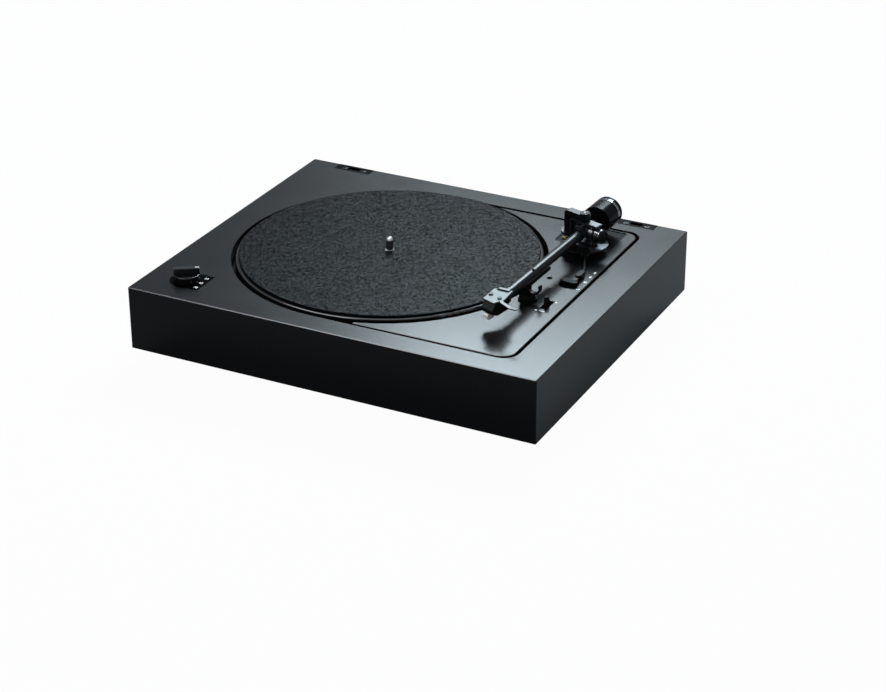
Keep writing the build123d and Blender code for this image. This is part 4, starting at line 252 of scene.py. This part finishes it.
# %% Tonearm metals
finishes["arm_black"] = worked_metal(
    "black_anodised_tube", "#15171a", rough_low=0.22, rough_high=0.28, grain_mm=(0.5, 0.5, 0.5),
    relief_mm=0.004, film=0.09)
finishes["gimbal_grey"] = worked_metal(
    "graphite_anodised", "#1c1e21", rough_low=0.24, rough_high=0.32, grain_mm=(0.6, 0.6, 0.6),
    relief_mm=0.004, film=0.40)
finishes["shell_silver"] = worked_metal(
    "brushed_aluminium", "#484a4a", rough_low=0.46, rough_high=0.58, grain_mm=(0.35, 14.0, 0.35),
    relief_mm=0.004)
finishes["weight_steel"] = worked_metal(
    "black_turned_steel", "#08090a", rough_low=0.18, rough_high=0.26, grain_mm=(30.0, 0.5, 30.0),
    relief_mm=0.003, film=0.04)
finishes["brass_gold"] = worked_metal(
    "plated_brass", "#d9b56a", rough_low=0.18, rough_high=0.28, grain_mm=(0.6, 6.0, 0.6), relief_mm=0.004)
# sintered bronze is pressed powder, soaked in oil, with open pores
finishes["bronze"] = worked_metal(
    "sintered_bronze", "#9c7446", rough_low=0.40, rough_high=0.55, grain_mm=(0.4, 0.4, 0.4), relief_mm=0.02)
print("finishes with the arm's metals:", len(finishes))

# %% [markdown]
# **Plastics.** ABS covers are moulded in tools that were spark eroded, which prints a fine even grain of
# about 0.4 mm on them. Nylon and acetal parts are smooth and slightly waxy. Rubber has no gloss worth the
# name, and collects pale dust in its pores. One helper makes them all from grain size, depth and gloss.

# %% Moulded finishes
# how wide a cloud of dust is
DUST_PATCH = 18.0


def moulded(name, colour, dusty, roughness, grain_mm, relief_mm, level=0.5):
    """Moulded plastic or rubber, with a grain whose pores hold a paler tone."""
    material, tree, shader, place = finish_named(name, {
        "IOR": 1.5, "Roughness": roughness, "Specular IOR Level": level})
    grain = put(tree, "TexNoise", {"Scale": per_size(grain_mm), "Detail": 3.0}, {"Vector": place})
    cloud = put(tree, "TexNoise", {"Scale": per_size(DUST_PATCH), "Detail": 4.0}, {"Vector": place})
    worn = put(tree, "MapRange", {"From Min": 0.45, "From Max": 0.75}, {"Value": cloud.outputs["Fac"]})
    tone = put(tree, "Mix", {"data_type": "RGBA", FIRST: linear(colour), SECOND: linear(dusty)},
               {"Factor": worn.outputs["Result"]})
    bump = put(tree, "Bump", {"Strength": 0.5, "Distance": relief_mm * MM}, {"Height": grain.outputs["Fac"]})
    tree.links.new(tone.outputs[MIXED], shader.inputs["Base Color"])
    tree.links.new(bump.outputs["Normal"], shader.inputs["Normal"])
    return material


finishes["black_abs"] = moulded(
    "spark_grained_abs", "#090a0b", "#0f1011", roughness=0.46, grain_mm=0.4, relief_mm=0.010, level=0.10)
finishes["white_abs"] = moulded(
    "ivory_acetal", "#f6f3ec", "#ece8df", roughness=0.38, grain_mm=0.6, relief_mm=0.004)
finishes["nylon_gear"] = moulded(
    "natural_nylon", "#d8d5c8", "#cbc7b8", roughness=0.45, grain_mm=0.8, relief_mm=0.006)
finishes["dark_rubber"] = moulded(
    "moulded_rubber", "#0e0e0e", "#1a1a19", roughness=0.70, grain_mm=0.5, relief_mm=0.020)
print("finishes with the plastics:", len(finishes))

# %% [markdown]
# **Underneath and behind** there are plainer materials. Hardboard is pressed wood fibre, brown, with short
# strands in every direction. The supply board is glass fibre with a green solder mask over copper tracks,
# which show as slightly paler bands about 3 mm apart. A wave texture repeats about three times in one unit,
# so its scale is worked out from 9 mm.

# %% Hardboard and circuit board
board, tree, shader, place = finish_named("pressed_hardboard", {"Roughness": 0.65, "IOR": 1.5})
STRAND_MM, PRESS_MM = 2.5, 0.05
strands = put(tree, "TexNoise", {"Scale": per_size(STRAND_MM), "Detail": 6.0, "Distortion": 1.6},
              {"Vector": place})
fibre = put(tree, "Mix", {"data_type": "RGBA", FIRST: linear("#2b2018"), SECOND: linear("#5e4832")},
            {"Factor": strands.outputs["Fac"]})
press = put(tree, "Bump", {"Strength": 0.4, "Distance": PRESS_MM * MM}, {"Height": strands.outputs["Fac"]})
tree.links.new(fibre.outputs[MIXED], shader.inputs["Base Color"])
tree.links.new(press.outputs["Normal"], shader.inputs["Normal"])
finishes["cover_board"] = board

mask, tree, shader, place = finish_named("green_solder_mask", {"Roughness": 0.30, "IOR": 1.5})
THREE_TRACKS_MM = 9.0
tracks = put(tree, "TexWave", {"Scale": per_size(THREE_TRACKS_MM), "Distortion": 2.5, "Detail": 1.0},
             {"Vector": place})
edge = put(tree, "MapRange", {"From Min": 0.45, "From Max": 0.55}, {"Value": tracks.outputs["Fac"]})
copper = put(tree, "Mix", {"data_type": "RGBA", FIRST: linear("#0c3d20"), SECOND: linear("#1a6335")},
             {"Factor": edge.outputs["Result"]})
tree.links.new(copper.outputs[MIXED], shader.inputs["Base Color"])
finishes["board_green"] = mask
print("made", board.name, "and", mask.name)

# %% [markdown]
# Every CAD node takes the finish of the slot that the record gives it. The nodes come in with one plain
# material each, so that material is swapped and the mesh stays as it is. A few nodes share a slot and still
# differ on the real player, because their tools were polished or blasted otherwise, or because another film
# lies over the same metal. Those have a finish of their own. The hinge mouldings get a darker one, as painted
# shade.

# %% Dress the CAD nodes
slot_of = {part["node"]: part["material_slot"] for part in record["subparts"]}
# a polished tool gives the selector's dish and the pickup a clear gloss
finishes["gloss_abs"] = moulded(
    "polished_abs", "#0a0a0b", "#0e0e10", roughness=0.16, grain_mm=2.0, relief_mm=0.002, level=0.5)
# the label plate is a printed film with a sharp but very weak reflection
finishes["gloss_plate"] = moulded(
    "polished_label_plate", "#020202", "#040404", roughness=0.10, grain_mm=2.0, relief_mm=0.001,
    level=0.015)
# the hinge mouldings are black plastic, made darker still and almost unreflective as painted shade, because
# they stand in shade
finishes["hinge_black_and_painted_shade"] = moulded(
    "hinge_moulding_painted_shade", "#030304", "#060607", roughness=0.30, grain_mm=0.8, relief_mm=0.003, level=0.012)
# a finely blasted tool and many fingers give the speed knob a soft gloss
finishes["satin_knob"] = moulded(
    "satin_knob", "#050506", "#09090a", roughness=0.22, grain_mm=0.5, relief_mm=0.003, level=0.40)
# the size selector's bar is coarser and stays matt
finishes["matt_abs"] = moulded(
    "matt_bar", "#08090a", "#0c0d0e", roughness=0.50, grain_mm=0.4, relief_mm=0.008, level=0.03)
# the force dial's cap is blasted alloy under a black film, which keeps some gloss
finishes["dial_black"] = worked_metal(
    "black_dial_cap", "#0b0c0d", rough_low=0.22, rough_high=0.30, grain_mm=(0.6, 0.6, 0.6), relief_mm=0.004,
    film=0.25)
# the spring's barrel is the same alloy left bare, pale and satin
finishes["barrel_grey"] = worked_metal(
    "ribbed_barrel", "#9a9da1", rough_low=0.28, rough_high=0.38, grain_mm=(0.6, 0.6, 0.6), relief_mm=0.004)
# the anti-skating scale is bare alloy too, blasted rough until it looks grey
finishes["scale_silver"] = worked_metal(
    "satin_scale_ring", "#4c4f53", rough_low=0.48, rough_high=0.58, grain_mm=(0.6, 0.6, 0.6),
    relief_mm=0.004)
# the bracket is die cast and painted, with a slightly coarser skin
finishes["bracket_black"] = worked_metal(
    "black_die_casting", "#0d0e10", rough_low=0.26, rough_high=0.34, grain_mm=(0.8, 0.8, 0.8),
    relief_mm=0.006, film=0.20)
own_finish = {"selector_dish": "gloss_abs", "speed_plate": "gloss_plate", "cartridge": "gloss_abs",
              "speed_knob": "satin_knob", "size_selector": "matt_abs",
              "hinge_socket_left": "hinge_black_and_painted_shade", "hinge_socket_right": "hinge_black_and_painted_shade",
              "force_dial": "dial_black", "spring_barrel": "barrel_grey", "antiskate_dial": "scale_silver",
              "pivot_bracket": "bracket_black"}
for name, part in nodes.items():
    part.data.materials.clear()
    part.data.materials.append(finishes[own_finish.get(name, slot_of[name])])
print("dressed", len(nodes), "nodes, finishes so far:", len(finishes))

# %% [markdown]
# **Small pieces.** What is left is too fine for CAD: inks, bright rings and thin wires. Each is a mesh or a
# curve made at its place, which rides on the body that carries it, so that a print on a knob turns with it.
# Places come from the record's joints and from the boxes of the nodes, in millimetres for easy reading.

# %% Places and helpers
joints = {joint["name"]: joint for joint in record["behaviour"]["joints"]}


def pivot_of(joint):
    """Where this joint turns, in millimetres."""
    return Vector(joints[joint]["pos_m"]) / MM


def top_of(node):
    """Height of the highest point of a node, in millimetres."""
    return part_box(node)[1].z / MM


def keep(name, data, finish, body):
    """Adds a piece that rides on a body, with the finish of this name."""
    piece = bpy.data.objects.new(name, data)
    bpy.context.scene.collection.objects.link(piece)
    data.materials.append(finishes[finish])
    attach(piece, body)
    return piece


print("the arm swings round", [round(c, 1) for c in pivot_of("arm_swing")])

# %% [markdown]
# **Inks.** Pad printing lays down a film of about 0.02 mm. It is drawn 0.04 mm thick, so that its top stays
# clear of the surface below. The white is a thin layer over black, which greys it, and black is used on
# metal. The numbers are the three speeds, the two record sizes in centimetres and a dial scale. Functions
# are marked by plain shapes: a triangle starts, a square stops, and two small arrows show which way the
# lever lifts.

# %% Printing
INK = 0.04
# height of a capital as a share of Blender's text size, and what each stroke gains as a share of that height
CAPITAL, BOLDER = 0.73, 0.012
finishes["white_ink"] = moulded(
    "pad_printed_white", "#cfd0ce", "#c2c3c1", roughness=0.45, grain_mm=0.5, relief_mm=0.002)
finishes["black_ink"] = moulded(
    "pad_printed_black", "#101113", "#1c1d20", roughness=0.45, grain_mm=0.5, relief_mm=0.002)


def number(digits, x, y, height, tall, finish, body, turn=0.0):
    """Prints digits of this capital height, centred on x and y, all in millimetres."""
    text = bpy.data.curves.new("number_" + digits, "FONT")
    text.body = digits
    text.size = tall * MM / CAPITAL
    text.offset = BOLDER * tall * MM
    text.extrude = INK / 2 * MM
    text.align_x = text.align_y = "CENTER"
    piece = keep(f"number_{digits}_{body}", text, finish, body)
    piece.matrix_world = (Matrix.Translation(Vector((x, y, height + INK / 2)) * MM)
                          @ Matrix.Rotation(math.radians(turn), 4, "Z"))
    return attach(piece, body)


def shapes(name, outlines, height, finish, body, thick=INK):
    """Prints flat shapes from lists of corners in millimetres."""
    drawn = bmesh.new()
    for outline in outlines:
        low = [drawn.verts.new(Vector((x, y, height)) * MM) for x, y in outline]
        high = [drawn.verts.new(Vector((x, y, height + thick)) * MM) for x, y in outline]
        drawn.faces.new(high)
        drawn.faces.new(low[::-1])
        for i in range(len(outline)):
            j = (i + 1) % len(outline)
            drawn.faces.new((low[i], low[j], high[j], high[i]))
    mesh = bpy.data.meshes.new(name)
    bmesh.ops.recalc_face_normals(drawn, faces=drawn.faces)
    drawn.to_mesh(mesh)
    drawn.free()
    return keep(name, mesh, finish, body)


def bar(centre, turn, start, end, width):
    """Corners of a bar on a ray from centre: from radius start to radius end, in the direction turn."""
    along = Vector((math.cos(math.radians(turn)), math.sin(math.radians(turn))))
    across = Vector((-along.y, along.x)) * width / 2
    middle = Vector(centre[:2])
    return [middle + along * start - across, middle + along * end - across,
            middle + along * end + across, middle + along * start + across]


def ngon(x, y, radius, sides, turn):
    """Corners of a regular shape with one corner in the direction turn."""
    angles = [math.radians(turn + 360.0 * i / sides) for i in range(sides)]
    return [(x + radius * math.cos(a), y + radius * math.sin(a)) for a in angles]


deck = top_of("plinth")
SPEED_TALL, SIZE_TALL = 3.3, 2.6
# each number with its place on the plate and on the deck
SPEEDS = (("33", -157.3, -130.4), ("45", -157.1, -141.1), ("78", -156.6, -151.5))
SIZES = (("30", 171.4, 24.4), ("17", 171.6, 6.4))
for digits, x, y in SPEEDS:
    number(digits, x, y, top_of("speed_plate"), SPEED_TALL, "white_ink", "plinth")
for digits, x, y in SIZES:
    number(digits, x, y, deck, SIZE_TALL, "white_ink", "chassis")

# an arrow is a triangle with a bar behind it, which has this start, end and width
UP_AT, DOWN_AT, HEAD_R, STEM = (171.6, 48.2), (171.3, 36.9), 1.7, (1.5, 3.2, 0.6)
shapes("lever_arrows", [ngon(*UP_AT, HEAD_R, sides=3, turn=90), ngon(*DOWN_AT, HEAD_R, sides=3, turn=-90),
                        bar(UP_AT, -90, *STEM), bar(DOWN_AT, 90, *STEM)], deck, "white_ink", "chassis")

# start is a triangle at the back of the slider's guide, and stop a square with a line at its front
guide_low, guide_high = (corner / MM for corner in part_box("slider_guide"))
guide_middle = (guide_low.x + guide_high.x) / 2
START_AT, STOP_AT, MARK_R = (guide_high.x - 2.1, -28.4), (154.6, -51.2), 1.5
shapes("start_mark", [ngon(*START_AT, MARK_R, sides=3, turn=0)], deck, "white_ink", "chassis")
shapes("stop_mark", [ngon(*STOP_AT, MARK_R, sides=4, turn=45),
                     bar((guide_middle, STOP_AT[1]), turn=0, start=-1.9, end=3.9, width=0.8)],
       deck, "white_ink", "chassis")
print("prints on the deck at", round(deck, 2), "mm")

# %% [markdown]
# The knob's bar has a white line at its pointing end, and the size selector has one in the groove of its
# bar. The anti-skating dial is a satin ring with black ticks. A tick each 5 degrees and a long one with its
# number each 15 degrees make a scale that the hand can set to a third of a unit.

# %% Pointers and scales
# each line has its direction in degrees, the radii where it starts and ends, and its width
KNOB_LINE, SELECTOR_LINE = (32.0, 8.2, 12.0, 1.1), (-8.0, 4.6, 8.4, 0.8)
# the selector's line lies in a groove and fills part of its depth
GROOVE_DEPTH, GROOVE_FILL = 0.8, 0.5
shapes("knob_pointer", [bar(pivot_of("speed_turn"), *KNOB_LINE)], top_of("speed_knob"), "white_ink",
       "speed_knob")
shapes("selector_pointer", [bar(pivot_of("size_turn"), *SELECTOR_LINE)],
       top_of("size_selector") - GROOVE_DEPTH, "white_ink", "size_selector", GROOVE_FILL)

dial = pivot_of("antiskate_turn")
dial_top = top_of("antiskate_dial")
# the scale's directions in degrees, the radii of its short and long ticks, and where its numbers stand
DIAL_FIRST, DIAL_LAST, TICK_STEP, LONG_EACH = -48, 14, 5, 3
TICK_OUTER, SHORT_INNER, LONG_INNER, TICK_WIDE = 23.4, 22.4, 21.4, 0.35
VALUES, VALUE_R, VALUE_TALL = range(4), 19.8, 1.7
ticks = []
for step, turn in enumerate(range(DIAL_FIRST, DIAL_LAST, TICK_STEP)):
    ticks.append(bar(dial, turn, SHORT_INNER if step % LONG_EACH else LONG_INNER, TICK_OUTER, TICK_WIDE))
shapes("skating_ticks", ticks, dial_top, "black_ink", "antiskate_dial")
for value in VALUES:
    turn = DIAL_FIRST + LONG_EACH * TICK_STEP * value
    x = dial.x + VALUE_R * math.cos(math.radians(turn))
    y = dial.y + VALUE_R * math.sin(math.radians(turn))
    number(str(value), x, y, dial_top, VALUE_TALL, "black_ink", "antiskate_dial", turn + 90)
print("ticks on the skating dial:", len(ticks))

# %% [markdown]
# **Turned trims** are rings of polished steel pressed into grooves: one at the back of the counterweight,
# and three round the force dial. They are profiles spun round their axis, with a small chamfer on each
# corner, because that chamfer is the line of light that makes a ring look machined.

# %% Turned rings
# edges sharper than this stay crisp, and corners that lie on the axis are closer than this and become one
SHARP_FROM, SAME_PLACE = math.radians(30.0), 1e-7


def turned(name, profile, origin, axis, finish, body, sides=96):
    """Spins a closed profile of (radius, distance along the axis) pairs, in millimetres, round an axis."""
    axis = Vector(axis).normalized()
    first = axis.orthogonal().normalized()
    second = axis.cross(first)
    spun = bmesh.new()
    rows = []
    for i in range(sides):
        angle = 2.0 * math.pi * i / sides
        outward = math.cos(angle) * first + math.sin(angle) * second
        rows.append([spun.verts.new((Vector(origin) + radius * outward + along * axis) * MM)
                     for radius, along in profile])
    for i in range(sides):
        row, after = rows[i], rows[(i + 1) % sides]
        for j in range(len(profile)):
            k = (j + 1) % len(profile)
            spun.faces.new((row[j], row[k], after[k], after[j]))
    bmesh.ops.remove_doubles(spun, verts=spun.verts, dist=SAME_PLACE)
    bmesh.ops.recalc_face_normals(spun, faces=spun.faces)
    mesh = bpy.data.meshes.new(name)
    spun.to_mesh(mesh)
    spun.free()
    mesh.shade_smooth()
    mesh.set_sharp_from_angle(angle=SHARP_FROM)
    return keep(name, mesh, finish, body)


def band(inner, outer, start, end, chamfer=0.12):
    """Profile of a band from start to end along the axis, with chamfered outer corners."""
    return [(inner, start), (inner, end), (outer - chamfer, end), (outer, end - chamfer),
            (outer, start + chamfer), (outer - chamfer, start)]


pivot = pivot_of("arm_tilt")
ahead = Vector(joints["weight_slide"]["axis"])
sideways = Vector(joints["force_turn"]["axis"])
# distances along the arm count from the pivot, and behind it they are negative
turned("weight_ring", band(inner=14.2, outer=14.96, start=-50.1, end=-47.1), pivot, ahead,
       "bright_steel", "counterweight")
# the force dial begins this far from the pivot, its grooves follow at these distances, and each ring has a
# little play in its groove
FORCE_DIAL_AT, FORCE_GROOVES, GROOVE_PLAY, FORCE_RING_LONG = 15.1, (2.2, 4.4, 6.6), 0.05, 0.6
for i, groove in enumerate(FORCE_GROOVES):
    begins = FORCE_DIAL_AT + groove + GROOVE_PLAY
    turned(f"force_ring_{i + 1}",
           band(inner=6.7, outer=7.15, start=begins, end=begins + FORCE_RING_LONG, chamfer=0.08),
           pivot, sideways, "bright_steel", "force_dial")
print("rings on the weight and the force dial, axis", [round(c, 3) for c in ahead])

# %% [markdown]
# **Leads.** Four leads hang in small loops from under the bracket's round foot to the arm's base, and four
# more join the pickup's pins to the head, in the usual colours: white, blue, red and green. The real ones
# are as thin as hair, and are drawn thicker so that they show. Copper this thin holds the bend that fingers
# gave it, so each lead is a smooth curve through a few points, with a little slack.

# %% Fine leads
def wire(name, points, diameter, finish, body):
    """A round wire on a smooth curve that runs from the first point to the last, in millimetres."""
    route = bpy.data.curves.new(name, "CURVE")
    route.dimensions = "3D"
    route.bevel_depth = diameter / 2 * MM
    route.bevel_resolution = 3
    route.use_fill_caps = True
    spline = route.splines.new("NURBS")
    spline.points.add(len(points) - 1)
    for knot, place in zip(spline.points, points):
        knot.co = (*(Vector(place) * MM), 1.0)
    spline.order_u = 3
    spline.use_endpoint_u = True
    spline.resolution_u = 8
    return keep(name, route, finish, body)


# how far the dial's top and the underside of the bracket's round foot are above the arm's base
DIAL_ABOVE, LOBE_ABOVE = 1.25, 5.4
base_top = top_of("antiskate_dial") - DIAL_ABOVE
lobe_low = base_top + LOBE_ABOVE
# where the first lead is, the step to the next one, and a lead's route as steps from there with its heights
LEADS_AT, LEAD_STEP, PILLAR_LEADS, PILLAR_LEAD_WIDE = (119.2, 93.6), (0.9, -0.5), 4, 0.45
LEAD_ROUTE = [(0.0, 1.0, lobe_low + 0.2), (-0.2, -0.6, lobe_low - 0.6), (-1.2, -3.2, lobe_low - 2.2),
              (-1.6, -3.0, base_top + 1.2), (-1.4, -1.8, base_top - 0.1)]
for i in range(PILLAR_LEADS):
    x, y = LEADS_AT[0] + LEAD_STEP[0] * i, LEADS_AT[1] + LEAD_STEP[1] * i
    wire(f"pillar_lead_{i + 1}", [(x + dx, y + dy, z) for dx, dy, z in LEAD_ROUTE],
         PILLAR_LEAD_WIDE, "brass_gold", "chassis")

sleeves = {"white": "#e8e6e0", "blue": "#2f5aa0", "red": "#b23a30", "green": "#2f7d4c"}
for colour, hex_code in sleeves.items():
    finishes[f"sleeve_{colour}"] = moulded(
        f"{colour}_sleeve", hex_code, hex_code, roughness=0.40, grain_mm=0.4, relief_mm=0.002)

# the headshell is turned on the deck by this angle, and the pickup's pins face the arm's socket behind it
HEAD_TURN = math.radians(-23.0)
PICKUP_AT, PICKUP_HALF, SOCKET_AT, SOCKET_UP = (133.25, -94.5), 10.0, (134.5, -80.7), 20.5
# each pin is this far from the pickup's middle, above the deck, and from the height of the pins' centre
PIN_ACROSS, PIN_UP, PIN_APART = 3.2, 20.0, 1.9
CLIP_PROFILE, CLIP_LONG = [(0.35, -0.3), (0.35, 2.4), (0.62, 2.4), (0.72, 1.2), (0.72, -0.3)], 2.2
# steps outward, back and up: where a lead enters the socket, and how far its middle bows
ENTRY, BOW = (2.2, 0.3, 1.3), (1.6, -0.6, 1.2)
# a lead is this wide over its sleeve, and leaves the clip and enters the socket straight for this length
SLEEVE_WIDE, STRAIGHT = 0.75, 0.8


def stepped(step, side, level):
    """This step, mirrored for the left pins by side -1 and for the lower pins by level -1."""
    return Vector((step[0] * side, step[1], step[2] * level))


head_across = Vector((math.cos(HEAD_TURN), math.sin(HEAD_TURN), 0.0))
head_back = Vector((-math.sin(HEAD_TURN), math.cos(HEAD_TURN), 0.0))
pickup_rear = Vector((*PICKUP_AT, deck)) + PICKUP_HALF * head_back
socket = Vector((*SOCKET_AT, deck + SOCKET_UP))
for colour, side, level in (("white", -1, 1), ("blue", -1, -1), ("red", 1, 1), ("green", 1, -1)):
    pin = pickup_rear + PIN_ACROSS * side * head_across + Vector((0, 0, PIN_UP + PIN_APART * level))
    turned(f"pin_clip_{colour}", CLIP_PROFILE, pin, head_back, "brass_gold", "arm", sides=24)
    start, end = pin + CLIP_LONG * head_back, socket + stepped(ENTRY, side, level)
    middle = start.lerp(end, 0.5) + stepped(BOW, side, level)
    wire(f"pickup_lead_{colour}",
         [start, start + STRAIGHT * head_back, middle, end - Vector((0, STRAIGHT, 0)), end],
         SLEEVE_WIDE, f"sleeve_{colour}", "arm")
print("leads:", PILLAR_LEADS + len(sleeves))

# %% [markdown]
# **Last fittings.** The phono sockets carry a red ring for the right channel and a white ring for the left.
# The starting slider has three grip ridges that a fingertip can push, and the arm tube has a small black
# stop on top, just behind the rest's clip.

# %% Insulators, ridges and stop
socket_low, socket_high = (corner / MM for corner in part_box("phono_sockets"))
finishes["red_ring"] = moulded(
    "red_insulator", "#a3211c", "#8e1d19", roughness=0.35, grain_mm=0.5, relief_mm=0.003)
finishes["white_ring"] = moulded(
    "white_insulator", "#e6e4de", "#d7d5cf", roughness=0.35, grain_mm=0.5, relief_mm=0.003)
centre_z = (socket_low.z + socket_high.z) / 2
RING_PLACES, REARWARD = (("red_ring", 67.0), ("white_ring", 81.0)), (0, 1, 0)
for finish, x in RING_PLACES:
    turned(finish, band(inner=1.7, outer=3.2, start=0.0, end=0.15, chamfer=0.05),
           (x, socket_high.y, centre_z), REARWARD, finish, "plinth", sides=48)

SLIDER_X, SLIDER_Y = 159.6, -38.0
RIDGE_APART, RIDGE_HALF, RIDGE_WIDE, RIDGE_TALL = 1.3, 1.5, 0.45, 0.3
ridges = [bar((SLIDER_X, SLIDER_Y + RIDGE_APART * row), 0, -RIDGE_HALF, RIDGE_HALF, RIDGE_WIDE)
          for row in (-1, 0, 1)]
shapes("slider_ridges", ridges, top_of("start_slider"), "black_abs", "starter", RIDGE_TALL)

# the stop stands on the tube's wall, this far ahead of the pivot, and leans a little outward
STOP_AHEAD, TUBE_WALL, STOP_LEAN = 114.8, 4.9, math.radians(18.0)
STOP_PROFILE = [(0.0, -0.5), (1.3, -0.5), (1.3, 0.7), (1.0, 1.2), (0.5, 1.45), (0.0, 1.5)]
outward = math.cos(STOP_LEAN) * Vector((0, 0, 1)) + math.sin(STOP_LEAN) * Vector((-ahead.y, ahead.x, 0))
turned("tube_stop", STOP_PROFILE, pivot + STOP_AHEAD * ahead + TUBE_WALL * outward, outward,
       "black_abs", "arm", sides=32)

# %% [markdown]
# **Camera.** The view is a long-lens product shot: about 27 degrees round from the front and 27 above. The
# camera stands on a line from a point near the floor, under the middle of the deck, so azimuth, elevation
# and distance are all that has to be chosen, with a trace of lean. A camera looks along its own -Z, so its
# third axis points back from the target.

# %% Camera
AZIMUTH, ELEVATION, LEAN = (math.radians(a) for a in (26.988, 26.876, -0.217))
DISTANCE = 2.284744
FILM_WIDE, FOCAL_LENGTH = 36.0, 94.87
LOOK_AT = Vector((0.0422003, -0.0219832, 0.0015601))

backward = Vector((math.sin(AZIMUTH) * math.cos(ELEVATION), -math.cos(AZIMUTH) * math.cos(ELEVATION),
                   math.sin(ELEVATION)))
level_right = Vector((math.cos(AZIMUTH), math.sin(AZIMUTH), 0.0))
level_up = backward.cross(level_right)
right = math.cos(LEAN) * level_right + math.sin(LEAN) * level_up
upward = math.cos(LEAN) * level_up - math.sin(LEAN) * level_right

lens = bpy.data.cameras.new("long_lens")
lens.sensor_fit = "HORIZONTAL"
lens.sensor_width = FILM_WIDE
lens.lens = FOCAL_LENGTH
camera = bpy.data.objects.new("camera", lens)
camera.matrix_world = Matrix((right, upward, backward)).transposed().to_4x4()
camera.location = LOOK_AT + DISTANCE * backward
bpy.context.scene.collection.objects.link(camera)
bpy.context.scene.camera = camera
bpy.context.scene.view_settings.view_transform = "Standard"
print("camera at", [round(c, 3) for c in camera.location])

# %% [markdown]
# **Paper sweep.** The picture is cut against plain white. Light Path tells a shader what kind of ray is
# asking: rays from the lens, and mirror and glass rays, get white, while the light that falls on the object
# comes from a calm grey room. The floor mixes in a little real paper, so that the object still has a shadow
# to stand in.

# %% World and floor
def white_share(tree, to_lens, to_mirror):
    """How white this looks: to_lens for camera rays, to_mirror for glossy and transmission rays, else 0."""
    path = put(tree, "LightPath")
    mirrored = put(tree, "Math", {"operation": "ADD", "use_clamp": True},
                   {0: path.outputs["Is Glossy Ray"], 1: path.outputs["Is Transmission Ray"]})
    weighed = put(tree, "Math", {"operation": "MULTIPLY", 1: to_mirror}, {0: mirrored.outputs[0]})
    total = put(tree, "Math", {"operation": "MULTIPLY_ADD", 1: to_lens, "use_clamp": True},
                {0: path.outputs["Is Camera Ray"], 2: weighed.outputs[0]})
    return total.outputs[0]


# how bright the room lights the object, and how white it looks in mirrors
ROOM_LEVEL, ROOM_MIRRORED = 0.30, 0.16
world = bpy.data.worlds.new("grey_room")
world.use_nodes = True
world.node_tree.nodes.clear()
room = put(world.node_tree, "Background", {"Color": linear("#e6ebf0"), "Strength": ROOM_LEVEL})
paper_white = put(world.node_tree, "Background", {"Color": linear("#ffffff"), "Strength": 1.0})
seen = put(world.node_tree, "MixShader", links={
    0: white_share(world.node_tree, 1.0, ROOM_MIRRORED), 1: room.outputs[0], 2: paper_white.outputs[0]})
put(world.node_tree, "OutputWorld", links={"Surface": seen.outputs[0]})
bpy.context.scene.world = world

# how much of the paper's white is its own glow, to the lens and in mirrors
PAPER_SEEN, PAPER_MIRRORED = 0.97, 0.06
paper = bpy.data.materials.new("seamless_paper")
paper.use_nodes = True
paper.node_tree.nodes.clear()
matt = put(paper.node_tree, "BsdfDiffuse", {"Color": linear("#8e8f90"), "Roughness": 0.0})
glow = put(paper.node_tree, "Emission", {"Color": linear("#ffffff"), "Strength": 1.0})
sweep = put(paper.node_tree, "MixShader", links={
    0: white_share(paper.node_tree, PAPER_SEEN, PAPER_MIRRORED), 1: matt.outputs[0], 2: glow.outputs[0]})
put(paper.node_tree, "OutputMaterial", links={"Surface": sweep.outputs[0]})

# the paper lies a hair below the feet, so that the two never share a plane
FLOOR_HALF, FLOOR_BELOW = 8.0, 0.0002
sheet = bmesh.new()
corners = [sheet.verts.new((x, y, 0.0)) for x, y in ((-1, -1), (1, -1), (1, 1), (-1, 1))]
sheet.faces.new(corners)
bmesh.ops.scale(sheet, vec=(FLOOR_HALF, FLOOR_HALF, 1.0), verts=sheet.verts)
floor_mesh = bpy.data.meshes.new("paper_floor")
sheet.to_mesh(floor_mesh)
sheet.free()
floor_mesh.materials.append(paper)
floor = bpy.data.objects.new("paper_floor", floor_mesh)
floor.location.z = -FLOOR_BELOW
bpy.context.scene.collection.objects.link(floor)
print("floor of", 2 * FLOOR_HALF, "m")

# %% [markdown]
# **Lamps.** A black satin deck is drawn by what it reflects. One big softbox stands behind the player, a
# little to the left: the deck's near right corner mirrors it and goes pale, and the far left corner looks
# past its edge and stays dark, so the whole top has one long gradient. A weaker box overhead puts a line of
# light on the tube, the weight and the knob. A long strip high in front, to the left, is mirrored only by
# the chamfers, and draws the bright line along the plinth's front edge. Nothing else shines from the front,
# so the front board stays black.

# %% Softboxes
def softbox(name, centre, aim, width, height, glow_level, colour):
    """Area lamp whose surface looks glow_level times as bright as white paper."""
    lamp = bpy.data.lights.new(name, "AREA")
    lamp.shape = "RECTANGLE"
    lamp.size, lamp.size_y = width, height
    lamp.energy = glow_level * math.pi * width * height
    lamp.color = linear(colour)[:3]
    box = bpy.data.objects.new(name, lamp)
    box.location = centre
    box.rotation_euler = (Vector(aim) - Vector(centre)).to_track_quat("-Z", "Y").to_euler()
    box.visible_camera = False
    bpy.context.scene.collection.objects.link(box)
    return box


softbox(
    "rear_softbox", centre=(-0.34, 2.0, 2.05), aim=(-0.34, 0.0, 2.05), width=1.56, height=1.4,
    glow_level=40.0, colour="#dff0f8")
softbox(
    "strip_light", centre=(-1.1, -1.35, 2.3), aim=(-0.1, -0.1, 0.05), width=2.4, height=0.45,
    glow_level=10.0, colour="#f4f8ff")
softbox(
    "top_softbox", centre=(0.0, -0.3, 2.4), aim=(0.0, 0.0, 0.0), width=1.8, height=1.4, glow_level=1.0,
    colour="#ffffff")
print("three softboxes")
